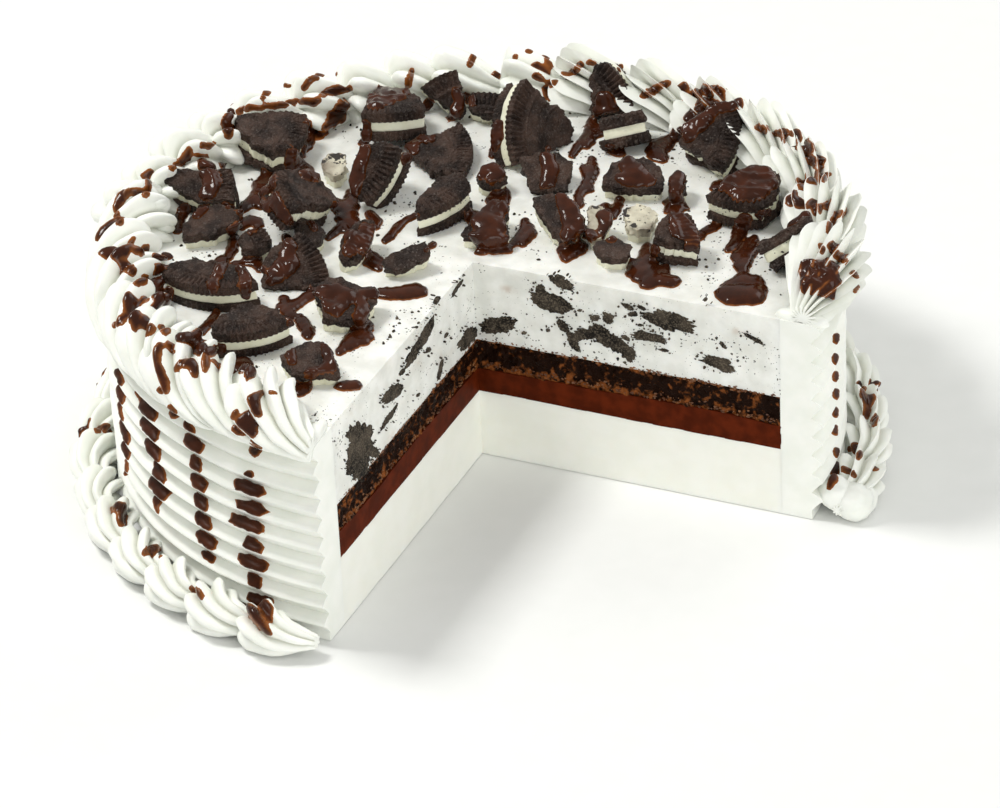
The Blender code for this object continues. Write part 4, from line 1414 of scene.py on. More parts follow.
SHELL_SAUCE: tuple[Stroke, ...] = (
    ((144, 176, 3), (150, 173, 4), (148, 184, 3), (146, 193, 4), (138, 192, 4), (130, 191, 3),
     (122, 196, 5), (118, 204, 4), (116, 214, 3), (119, 221, 4), (122, 218, 3)),
    ((108, 225, 3), (113, 223, 4), (104, 231, 5), (98, 238, 3)),
    ((94, 229, 2), (86, 238, 2), (83, 250, 2), (84, 258, 1.5)),
    ((103, 250, 6), (112, 252, 8), (124, 250, 6), (130, 244, 3), (134, 238, 2)),
    ((136, 250, 4), (142, 250, 5), (147, 247, 3)),
    ((189, 150, 3), (187, 156, 4), (180, 163, 3), (172, 167, 3)),
    ((203, 145, 3), (209, 146, 3), (214, 143, 2)), ((206, 156, 2), (197, 155, 2)),
    ((228, 136, 4), (231, 127, 3)), ((238, 112, 3), (250, 107, 3), (262, 109, 2)),
    ((262, 98, 2), (267, 92, 3), (275, 88, 2.5), (283, 85, 2), (290, 86, 1.5)),
    ((264, 106, 2), (275, 106, 3), (290, 103, 3), (303, 101, 3), (313, 103, 4), (318, 100, 3)),
    ((304, 88, 3), (310, 80, 3), (318, 76, 3), (326, 73, 2), (336, 74, 2)),
    ((322, 95, 3), (330, 93, 5), (340, 89, 4.5), (350, 88, 3)),
    ((345, 104, 6), (337, 112, 7), (330, 125, 6), (320, 136, 4), (313, 139, 2)),
    ((408, 86, 3), (410, 78, 3), (412, 70, 2)),
    ((120, 262, 3), (128, 268, 6), (133, 272, 4)), ((137, 282, 4), (143, 279, 5), (147, 277, 2)),
    ((126, 296, 6), (131, 304, 8), (132, 314, 8), (126, 318, 5), (118, 322, 4), (114, 326, 2)),
    ((136, 322, 5), (135, 329, 3)), ((143, 302, 5), (147, 300, 3)),
    ((145, 322, 6), (149, 328, 5), (147, 334, 3)), ((161, 327, 3), (165, 331, 4), (168, 330, 3)),
    ((160, 346, 4), (156, 352, 4), (155, 362, 5), (158, 372, 6), (163, 380, 5), (164, 390, 5),
     (160, 390, 3)),
    ((168, 344, 3), (172, 348, 4), (174, 352, 2)),
    ((175, 369, 3), (182, 364, 4), (190, 362, 6), (194, 368, 5), (195, 375, 3)),
    ((206, 355, 3), (206, 364, 4), (205, 371, 2)), ((214, 361, 2), (220, 368, 2)),
    ((262, 392, 2), (256, 397, 4), (252, 402, 7), (254, 412, 7), (250, 420, 8), (242, 426, 8),
     (236, 430, 5), (252, 432, 6)), ((232, 418, 2), (236, 412, 3)),
    ((270, 392, 2), (276, 393, 1.5)),
    ((256, 444, 6), (256, 450, 6)), ((170, 408, 3), (175, 414, 5)),
    ((97, 430, 3), (105, 428, 5), (108, 430, 4)),
    ((470, 64, 3), (476, 50, 2.5), (484, 52, 3)), ((496, 62, 3), (500, 68, 3), (496, 76, 4)),
    ((515, 57, 2.5), (516, 56, 2)),
    ((527, 51, 2), (535, 50, 3), (542, 53, 3), (548, 60, 3), (551, 67, 2)),
    ((536, 66, 4), (542, 70, 4), (547, 73, 3)), ((536, 76, 4), (541, 79, 3)),
    ((556, 81, 2), (550, 84, 4), (545, 90, 3), (548, 99, 3)),
    ((563, 73, 2), (569, 74, 2), (576, 70, 3), (581, 64, 3)), ((588, 63, 2), (594, 61, 4)),
    ((620, 69, 3), (621, 66, 2)), ((630, 64, 3), (631, 62, 2)),
    ((643, 96, 3), (652, 92, 4), (660, 86, 3), (668, 83, 3)),
    ((680, 87, 3), (686, 86, 4), (683, 91, 3)), ((693, 96, 4), (698, 92, 4), (699, 98, 3)),
    ((705, 88, 4), (713, 90, 6), (720, 93, 5), (723, 99, 3)),
    ((757, 128, 3), (763, 127, 2)), ((765, 131, 3), (768, 127, 2)),
    ((776, 133, 3), (785, 133, 4), (783, 140, 3)), ((794, 133, 4), (801, 132, 4), (797, 141, 4)),
    ((807, 142, 4), (810, 150, 5), (814, 142, 3), (806, 156, 2)),
    ((812, 160, 5), (819, 163, 6), (822, 160, 3), (818, 173, 4)),
    ((806, 178, 4), (815, 181, 4), (825, 177, 4), (830, 174, 2)), ((803, 187, 4), (798, 181, 3)),
    ((793, 193, 4), (791, 200, 6), (799, 203, 5), (806, 206, 3)),
    ((812, 204, 5), (818, 208, 5), (815, 213, 3)), ((826, 206, 4), (830, 203, 3)),
    ((845, 213, 3), (838, 214, 4), (832, 222, 4), (829, 231, 3)),
    ((822, 250, 4), (821, 246, 3)), ((832, 246, 5), (836, 254, 4), (842, 259, 4), (847, 262, 2)),
    ((853, 273, 3), (857, 277, 2)), ((857, 286, 2.5), (855, 291, 2)),
    ((864, 388, 2), (863, 396, 5), (867, 402, 6), (872, 398, 4), (866, 414, 4), (876, 418, 5),
     (874, 424, 3)),
    ((850, 449, 3), (855, 446, 4), (857, 455, 5), (861, 453, 3)),
    ((843, 469, 3), (851, 472, 3), (855, 476, 2)), ((874, 469, 2), (877, 469, 2)),
    ((116, 506, 5), (122, 510, 7), (122, 519, 6), (122, 524, 3)),
    ((146, 552, 4), (152, 550, 6), (158, 548, 5), (160, 556, 2)),
    ((192, 588, 3), (198, 592, 4), (201, 598, 2)),
    ((244, 604, 5), (252, 612, 7), (260, 622, 6), (268, 632, 4)),
)

WALL_SAUCE: tuple[Stroke, ...] = (
    ((118, 372, 4), (119, 380, 4), (121, 396, 4.5), (120, 410, 1.5), (121, 417, 2), (125, 431, 4),
     (126, 449, 5), (127, 462, 1.5), (126, 474, 2)),
    ((136, 392, 1.5), (142, 400, 2), (148, 408, 8), (150, 430, 8), (152, 448, 8), (156, 460, 4),
     (158, 466, 3), (158, 482, 9), (162, 490, 9), (156, 506, 2), (158, 512, 1.5)),
    ((187, 424, 4), (190, 430, 4), (194, 443, 9), (196, 455, 5), (195, 464, 5), (199, 480, 7),
     (201, 498, 6), (202, 516, 6), (206, 536, 8), (210, 552, 7), (212, 560, 3)),
    ((248, 474, 3), (250, 488, 16), (252, 505, 17), (248, 520, 18), (252, 537, 5), (250, 544, 6),
     (254, 560, 14), (256, 574, 7), (254, 584, 5), (262, 596, 10), (266, 612, 7), (268, 620, 4)),
    *(((u, v - 2.5, 3.0), (u, v + 2.5, 3.0)) for u, v in (
        (836.5, 339), (835.5, 359), (836, 376.5), (836, 394), (835.5, 412), (835, 430),
        (837, 453))),
    ((836, 466, 4), (833, 478, 4), (829, 488, 2)),
)

TOP_SAUCE: tuple[Stroke, ...] = (
    ((155, 256, 3), (162, 256, 4.5), (169, 257, 3)),
    ((202, 161, 4), (208, 168, 8), (213, 180, 8), (208, 194, 7), (212, 190, 5)), ((222, 166, 4),),
    ((308, 122, 4), (312, 130, 4), (310, 142, 4), (305, 150, 5)),
    ((292, 155, 7), (296, 166, 10), (306, 172, 9), (316, 178, 5)),
    ((274, 178, 4), (270, 188, 5), (262, 192, 6), (254, 200, 6), (245, 207, 5), (240, 212, 3)),
    ((275, 200, 7), (282, 212, 6), (290, 222, 4)),
    ((232, 230, 5), (240, 226, 6), (250, 221, 5), (258, 222, 4), (262, 226, 2)),
    ((235, 240, 5), (232, 250, 5), (228, 258, 4)), ((250, 233, 3), (257, 228, 3)),
    ((196, 214, 5), (204, 208, 4)), ((225, 205, 3), (232, 207, 3)),
    ((286, 238, 4), (290, 247, 6), (284, 262, 6), (277, 272, 7), (270, 281, 4)),
    ((310, 222, 3), (314, 228, 3)),
    ((235, 368, 5), (243, 366, 8), (250, 370, 6), (252, 375, 3)),
    ((178, 337, 4), (188, 338, 5), (196, 336, 5), (205, 328, 4), (212, 320, 4), (217, 312, 3)),
    ((194, 342, 5), (202, 350, 6), (212, 350, 5), (222, 348, 4)),
    ((160, 268, 6), (157, 278, 7), (156, 290, 6), (160, 300, 5), (155, 307, 4)),
    ((166, 302, 4), (170, 290, 4)),
    ((222, 262, 6), (218, 272, 5), (213, 283, 5), (212, 292, 3)),
    ((236, 265, 4), (246, 268, 6), (245, 285, 5), (246, 295, 4)),
    ((245, 262, 5), (256, 263, 6), (262, 270, 4)),
    ((280, 308, 4), (290, 308, 6), (298, 304, 5), (306, 298, 5), (316, 293, 5), (325, 290, 5),
     (335, 291, 5)),
    ((300, 318, 4), (303, 324, 6), (308, 331, 6), (308, 337, 4)),
    ((325, 346, 4), (330, 355, 6), (332, 366, 6), (322, 370, 5), (310, 373, 5)),
    ((290, 352, 5), (292, 361, 4)), ((296, 385, 6), (303, 388, 8), (299, 392, 6)),
    ((340, 352, 4), (346, 345, 5), (352, 340, 7), (362, 334, 7), (368, 326, 5), (364, 342, 5)),
    ((358, 318, 5), (362, 308, 5), (360, 296, 4), (366, 312, 4)),
    ((360, 294, 4), (375, 294, 5), (390, 294, 6), (405, 293, 7), (416, 291, 8), (422, 292, 5)),
    ((378, 92, 5), (388, 95, 8), (400, 93, 7), (409, 90, 4)), ((372, 102, 5), (386, 104, 5)),
    ((366, 124, 4), (366, 134, 5), (363, 146, 5)),
    ((366, 150, 5), (360, 164, 6), (356, 180, 7), (352, 192, 6), (351, 204, 7), (352, 214, 6)),
    ((418, 140, 4), (411, 147, 5), (404, 160, 4)), ((424, 139, 3), (432, 138, 3)),
    ((456, 92, 4), (460, 102, 4), (456, 112, 5), (451, 119, 3)), ((466, 96, 4), (472, 102, 4)),
    ((498, 124, 4), (496, 135, 5), (494, 146, 4), (492, 156, 3)),
    ((480, 176, 4), (484, 170, 6), (491, 168, 8), (500, 173, 6), (492, 180, 5)),
    ((497, 192, 4), (490, 205, 6), (486, 218, 8), (495, 226, 8), (490, 236, 8), (500, 240, 8),
     (495, 250, 6), (508, 250, 4)), ((478, 240, 4), (482, 250, 4)),
    ((525, 222, 4), (524, 232, 5), (518, 240, 5), (512, 245, 4)),
    ((416, 216, 3), (405, 221, 3), (397, 228, 4), (390, 237, 4), (385, 241, 3)),
    ((345, 222, 5), (337, 231, 4), (328, 238, 3)), ((334, 205, 4), (342, 211, 6)),
    ((370, 215, 5), (378, 222, 4), (372, 232, 4), (368, 242, 5), (365, 252, 5), (368, 262, 5),
     (378, 268, 4)), ((344, 226, 4), (348, 236, 4)), ((433, 245, 3), (426, 250, 2)),
    ((700, 104, 4), (712, 104, 5), (722, 103, 3)),
    ((700, 110, 5), (690, 120, 6), (681, 131, 4), (673, 139, 5)),
    ((666, 144, 7), (657, 152, 8), (662, 158, 6), (650, 156, 3)),
    ((600, 102, 5), (607, 98, 5), (602, 108, 5)),
    ((592, 122, 5), (590, 132, 5), (583, 141, 4), (577, 148, 4), (572, 156, 3)),
    ((600, 134, 4), (598, 128, 4)),
    ((548, 150, 4), (548, 160, 5), (549, 172, 5), (545, 180, 4), (542, 187, 2)), ((553, 185, 2),),
    ((592, 160, 4), (592, 172, 6), (588, 182, 5), (583, 190, 5), (578, 197, 4), (580, 205, 4)),
    ((625, 165, 5), (632, 171, 7), (641, 178, 5)), ((620, 178, 4),),
    ((672, 178, 5), (680, 175, 6), (676, 187, 7), (672, 198, 6), (670, 208, 5)),
    ((560, 195, 4), (565, 205, 7), (570, 216, 8), (572, 228, 8), (568, 238, 7)),
    ((562, 250, 5), (570, 251, 9), (580, 248, 7), (566, 257, 6)),
    ((600, 215, 4), (607, 225, 5), (603, 236, 4)), ((620, 200, 4), (616, 211, 4), (609, 224, 4)),
    ((647, 248, 5), (645, 256, 6), (642, 264, 7), (641, 273, 10), (650, 274, 9), (663, 272, 6),
     (648, 285, 5)), ((630, 274, 4),),
    ((675, 230, 5), (683, 233, 7), (692, 229, 6), (696, 236, 5)),
    ((703, 232, 3), (711, 229, 4), (718, 226, 4)),
    ((715, 188, 5), (730, 182, 8), (745, 175, 9), (760, 170, 8), (764, 180, 6)),
    ((735, 192, 6), (750, 190, 8)),
    ((745, 218, 6), (740, 231, 6), (735, 243, 5), (728, 250, 3)), ((760, 215, 4), (768, 212, 3)),
    ((757, 246, 4), (750, 253, 6), (745, 262, 6), (743, 272, 5)),
    ((722, 290, 4), (732, 287, 7), (743, 282, 9), (756, 284, 8), (750, 293, 6), (764, 290, 4)),
    ((745, 296, 5),), ((583, 168, 3), (590, 190, 4)), ((350, 345, 6), (356, 342, 6)),
    ((268, 176, 6), (261, 188, 8), (257, 200, 8), (266, 208, 6)),
    ((337, 205, 7), (347, 212, 9), (352, 222, 7), (342, 219, 6)),
    ((365, 228, 5), (363, 243, 6), (354, 238, 7), (349, 252, 6)), ((372, 258, 6), (381, 263, 5)),
    ((322, 295, 7), (335, 292, 8), (348, 296, 7), (337, 308, 7), (325, 306, 6)),
    ((362, 315, 5), (361, 327, 6), (367, 337, 6)), ((284, 300, 5), (288, 311, 6), (292, 321, 5)),
    ((228, 130, 5), (226, 121, 4), (231, 113, 4)), ((237, 366, 8), (246, 370, 8)),
    ((399, 95, 7), (386, 100, 8), (376, 104, 7), (369, 97, 6)), ((411, 150, 6), (405, 157, 6)),
    ((431, 100, 4), (426, 107, 4)), ((565, 200, 7), (575, 213, 9), (580, 227, 7), (590, 236, 5)),
    ((605, 208, 5), (610, 219, 6), (604, 231, 5)), ((526, 226, 6), (531, 234, 5), (522, 243, 5)),
    ((470, 216, 7), (484, 222, 9), (499, 226, 7), (478, 238, 7), (494, 240, 8)),
    ((629, 165, 8), (640, 175, 8), (627, 179, 7), (650, 180, 6)),
    ((675, 194, 6), (680, 205, 6), (676, 216, 5), (688, 228, 6)),
    ((654, 247, 7), (649, 260, 9), (640, 271, 11), (655, 276, 10), (646, 283, 7)),
    ((654, 151, 8), (662, 146, 8), (669, 141, 6)),
    ((712, 108, 7), (725, 104, 7), (738, 104, 5)), ((706, 118, 7), (696, 126, 7), (688, 136, 6)),
    ((730, 186, 9), (745, 178, 11), (763, 173, 9), (772, 182, 7), (758, 190, 9), (742, 194, 9)),
    ((742, 268, 6), (738, 257, 6), (746, 248, 6), (754, 240, 5)),
    ((604, 100, 7), (611, 107, 7), (600, 111, 6)), ((592, 136, 6), (586, 145, 5)),
    ((546, 156, 6), (551, 169, 7), (548, 181, 7)), ((186, 208, 5), (180, 218, 5), (178, 230, 5)),
    ((284, 265, 8), (278, 274, 8), (292, 262, 7)), ((700, 236, 5), (690, 247, 5)),
    ((505, 195, 5), (503, 207, 6), (497, 215, 6)), ((610, 150, 5), (620, 153, 5)),
)


@dataclass
class Brush:
    """Lays sauce on the surfaces that rays from an eye meet first."""

    ground: BVHTree
    focal: float = 4794.7
    turns: int = 12
    rings: int = 4
    root: float = 0.7  # how far a dab reaches under the surface
    back: float = 1340.0  # how far the eye is for a dab that the photograph doesn't show
    points: list[Vector] = field(default_factory=list)
    faces: list[tuple[int, ...]] = field(default_factory=list)

    def lean(self, eye: Vector, ray: Vector, width: float) -> Vector:
        """The way the surface faces round a hit, leaning a little towards the eye.

        Args:
            eye: where the ray starts.
            ray: its direction.
            width: how far round the hit counts.

        Returns:
            A direction of length 1.
        """
        _, normal, _, far = self.ground.ray_cast(eye, ray)
        side = ray.cross(Vector((0.0, 0.0, 1.0))).normalized()
        over = side.cross(ray)
        total = normal.copy()
        for shift in (side, -side, over, -over):
            near = self.ground.ray_cast(eye + shift * width * 0.6, ray)
            if near[0] is not None and abs(near[3] - far) < 3.0 * width:
                total += near[1]
        return (total.normalized() - 0.12 * ray).normalized()

    def dab(self, eye: Vector, ray: Vector, half: float, thick: float, banded: bool) -> None:
        """Lays one round dab, which follows the surface and stops at steps in it.

        Args:
            eye: where the dab is seen from.
            ray: direction to its middle.
            half: half its width as seen, in pixels of the photograph.
            thick: thickness; 1 is usual.
            banded: True keeps it on the upper side of the wall's ridges.
        """
        hit, normal, _, far = self.ground.ray_cast(eye, ray)
        if hit is None or (banded and normal.z < 0.12):
            return
        width = half * far / self.focal
        lean = self.lean(eye, ray, width)
        side = ray.cross(Vector((0.0, 0.0, 1.0))).normalized()
        first = (side - lean * side.dot(lean)).normalized()
        second = lean.cross(first)
        height = min(1.3 * MM, 0.35 * width + 0.3 * MM) * thick
        start = len(self.points)
        self.points += [hit + lean * height, hit - lean * self.root * MM]
        for k in range(self.turns):
            angle = 2.0 * math.pi * k / self.turns
            way = first * math.cos(angle) + second * math.sin(angle)
            seen = max((way - ray * way.dot(ray)).length, 0.4)
            step = width / seen * (1.0 + 0.1 * math.sin(3.0 * angle + start)) / self.rings
            here, stopped = hit, False
            for j in range(1, self.rings + 1):
                if not stopped:
                    probe = here + way * step + lean * (1.3 * step + 0.4 * MM)
                    found = self.ground.ray_cast(probe, -lean, 2.8 * step + 0.9 * MM)
                    stopped = found[0] is None or (banded and found[1].z < 0.02)
                    here = here if stopped else found[0]
                rise = height * math.sqrt(max(0.0, 1.0 - (j / self.rings) ** 2))
                self.points += [here + lean * rise, here - lean * self.root * MM]
        self.close(start)

    def close(self, start: int) -> None:
        """Adds the faces of the dab whose points begin at start."""
        def at(k: int, j: int, low: int) -> int:
            """Number of the point on turn k, ring j, upper or lower side."""
            return start + 2 + ((k % self.turns) * self.rings + j) * 2 + low

        last = self.rings - 1
        for k in range(self.turns):
            self.faces.append((start, at(k, 0, 0), at(k + 1, 0, 0)))
            self.faces.append((start + 1, at(k + 1, 0, 1), at(k, 0, 1)))
            for j in range(last):
                upper = (at(k, j, 0), at(k, j + 1, 0), at(k + 1, j + 1, 0), at(k + 1, j, 0))
                lower = (at(k, j, 1), at(k + 1, j, 1), at(k + 1, j + 1, 1), at(k, j + 1, 1))
                self.faces += [upper, lower]
            rim = (at(k, last, 0), at(k, last, 1), at(k + 1, last, 1), at(k + 1, last, 0))
            self.faces.append(rim)

    def photo_stroke(self, eye: Eye, stroke: Stroke, thick: float, banded: bool) -> None:
        """Lays dabs along a stroke read from the photograph.

        Args:
            eye: the photograph's viewpoint.
            stroke: places and half widths in pixels.
            thick: thickness; 1 is usual.
            banded: True keeps it on the upper side of the wall's ridges.
        """
        from_here = Vector(eye.place) * MM
        chance = np.random.default_rng(int(stroke[0][0] * 7 + stroke[0][1]))
        runs = list(zip(stroke, stroke[1:])) or [(stroke[0], stroke[0])]
        for (u, v, w), (u2, v2, w2) in runs:
            length = math.hypot(u2 - u, v2 - v)
            count = max(1, int(length / (0.5 * min(w, w2))))
            for i in range(count + 1):
                share = i / count
                half = (w + (w2 - w) * share) * chance.uniform(1.06, 1.28) + 0.7
                ray = eye.ray(u + (u2 - u) * share, v + (v2 - v) * share)
                self.dab(from_here, ray, half, thick, banded)

    def round_stroke(self, places: np.ndarray, halves: np.ndarray, rise: float,
                     banded: bool) -> None:
        """Lays dabs on the sides that the photograph doesn't show.

        Args:
            places: points in millimetres on or near the surface.
            halves: half widths in pixels of the photograph.
            rise: how far above the places the eye is, in millimetres.
            banded: True keeps it on the upper side of the wall's ridges.
        """
        for place, half in zip(places, halves):
            out = np.array([place[0], place[1], 0.0])
            out *= self.back / np.linalg.norm(out)
            eye = Vector(out + np.array([0.0, 0.0, place[2] + rise])) * MM
            ray = (Vector(place) * MM - eye).normalized()
            self.dab(eye, ray, float(half), 1.0, banded)


@dataclass
class Saucier:
    """The chocolate sauce on the cookies, the top, the borders and the wall."""

    eye: Eye
    grain: float = 0.4
    see_through: float = 0.42  # thickness below which the sauce lets its ground show
    heavy: int = 95000  # faces from which a piece is made as two
    parting: float = -20.0  # x of the line between the two
    # x, y, length, width, height and azimuth of the long side
    pools: tuple[tuple[float, ...], ...] = (
        (47.5, 8.0, 15.0, 11.0, 2.0, 20.0), (70.3, 10.2, 15.0, 11.5, 2.2, 8.0),
        (-9.0, -22.2, 15.0, 7.0, 2.0, 14.0), (-30.8, -69.2, 8.0, 5.0, 1.6, 25.0),
        (26.5, 8.0, 8.0, 6.0, 1.8, 0.0), (-26.2, 8.5, 10.0, 4.2, 1.8, 80.0),
        (7.4, 15.6, 6.5, 4.0, 1.6, 110.0), (13.3, 44.0, 6.0, 4.4, 1.5, 60.0),
        (55.0, 34.0, 8.0, 5.0, 1.7, 20.0),
    )

    def build(self, shop: Workshop) -> None:
        """Pours all the sauce; shop is where it is made."""
        ground, pale = self.ground(shop)
        jobs = (
            ("sauce_on_cookies", TOP_SAUCE, 1.25, False, False),
            ("sauce_on_borders", SHELL_SAUCE, 0.55, False, False),
            ("sauce_on_wall", WALL_SAUCE, 0.7, True, False),
            ("sauce_behind", (), 0.6, False, True),
        )
        for name, strokes, thick, banded, behind in jobs:
            brush = Brush(ground)
            for stroke in strokes:
                brush.photo_stroke(self.eye, stroke, thick, banded)
            if behind:
                self.pour_behind(brush)
            elif strokes is TOP_SAUCE:
                self.pour_pools(brush)
            look = "thin_sauce" if banded else "sauce"
            self.finish(name, look, brush, ground, pale, shop)

    def pour_pools(self, brush: Brush) -> None:
        """Lays the pools on the flat top, seen from straight above."""
        for x, y, length, width, height, azimuth in self.pools:
            angle = math.radians(azimuth)
            reach = 0.5 * (length - width)
            for share in np.linspace(-1.0, 1.0, 4):
                at = Vector((x + share * reach * math.cos(angle),
                             y + share * reach * math.sin(angle), 61.0)) * MM
                eye = at + Vector((0.0, 0.0, brush.back * MM))
                half = 0.5 * width * MM * brush.focal / (brush.back * MM)
                brush.dab(eye, Vector((0.02, 0.0, -1.0)).normalized(), half, 0.75 * height, False)

    @staticmethod
    def ground(shop: Workshop) -> tuple[BVHTree, np.ndarray]:
        """All pieces made so far as one surface, and which of its faces are pale."""
        bodies, pale = [], []
        for piece in shop.pieces:
            mesh = piece.data
            bodies.append((corners(mesh), [tuple(p.vertices) for p in mesh.polygons]))
            pale += [not piece.name.startswith("cookie")] * len(mesh.polygons)
        points, faces = stacked(bodies)
        return BVHTree.FromPolygons(points.tolist(), faces), np.array(pale)

    @staticmethod
    def pour_behind(brush: Brush) -> None:
        """Drips and dabs at random on the sides that the photograph doesn't show."""
        chance = np.random.default_rng(21)
        for azimuth in np.arange(42.0, 196.0, 15.0) + chance.uniform(-5.0, 5.0, 11):
            end = chance.uniform(12.0, 44.0)
            heights = np.arange(58.0, end, -1.1)
            swing = azimuth + 1.6 * np.sin(heights / 9.0 + azimuth)
            halves = 4.0 + 3.0 * np.sin(heights / 6.0 + azimuth) + chance.uniform(0.0, 2.0)
            brush.round_stroke(turned(np.full(len(heights), 99.0), swing, heights),
                               np.clip(halves, 1.5, 9.0), 180.0, True)
        for azimuth in np.arange(44.0, 184.0, 7.0) + chance.uniform(-2.5, 2.5, 20):
            run = np.linspace(0.0, 1.0, 9)
            slope = chance.uniform(-3.0, 3.0)
            heights = 67.0 - (3.0 + chance.uniform(0.0, 7.0)) * run
            places = turned(np.full(9, 104.0), azimuth + slope * run, heights)
            brush.round_stroke(places, 2.0 + 3.0 * np.sin(run * 3.0), 520.0, False)
        for azimuth in chance.uniform(30.0, 200.0, 9):
            run = np.linspace(0.0, 1.0, 6)
            places = turned(np.full(6, 108.0), azimuth + 1.5 * run, 10.0 - 6.0 * run)
            brush.round_stroke(places, np.full(6, 4.0), 500.0, False)

    def finish(self, name: str, look: str, brush: Brush, ground: BVHTree, pale: np.ndarray,
               shop: Workshop) -> None:
        """Melts the dabs into one smooth body and marks where it is thin.

        Args:
            name: the piece's name.
            look: its finish.
            brush: the brush with its dabs.
            ground: the surface under the sauce.
            pale: for each face of the ground, whether it is pale.
            shop: where it is made.
        """
        points = np.array(brush.points) / MM
        obj = shop.mesh(name, points, brush.faces, (look,))
        melt = obj.modifiers.new("melt", "REMESH")
        melt.mode = "VOXEL"
        melt.voxel_size = self.grain * MM
        melt.use_smooth_shade = True
        soft = obj.modifiers.new("soft", "SMOOTH")
        soft.factor, soft.iterations = 0.5, 3
        obj = shop.plain(obj)
        thin = np.zeros(len(obj.data.vertices))
        for i, vert in enumerate(obj.data.vertices):
            _, _, face, far = ground.find_nearest(vert.co)
            edge = max(0.0, 1.0 - far / MM / self.see_through)
            thin[i] = edge * (0.9 if pale[face] else 0.25)
        shop.mark(obj, "thin", thin)
        for part in self.divided(obj):
            shop.keep(part, "fudge")

    def divided(self, obj: bpy.types.Object) -> list[bpy.types.Object]:
        """Shares a heavy piece's separate bodies between a left and a right piece.

        Args:
            obj: the piece.

        Returns:
            The two pieces, or a light piece as it is.
        """
        if len(obj.data.polygons) < self.heavy:
            return [obj]
        parts = []
        for side in Side:
            bm = bmesh.new()
            bm.from_mesh(obj.data)
            gone = []
            for body in islands(bm):
                left = sum(v.co.x for v in body) < self.parting * MM * len(body)
                if left == (side is Side.RIGHT):
                    gone += body
            bmesh.ops.delete(bm, geom=gone, context="VERTS")
            part = obj.copy()
            part.data = obj.data.copy()
            part.name = f"{obj.name}_{side.name.lower()}"
            bm.to_mesh(part.data)
            bm.free()
            bpy.context.scene.collection.objects.link(part)
            parts.append(part)
        bpy.data.objects.remove(obj, do_unlink=True)
        return parts


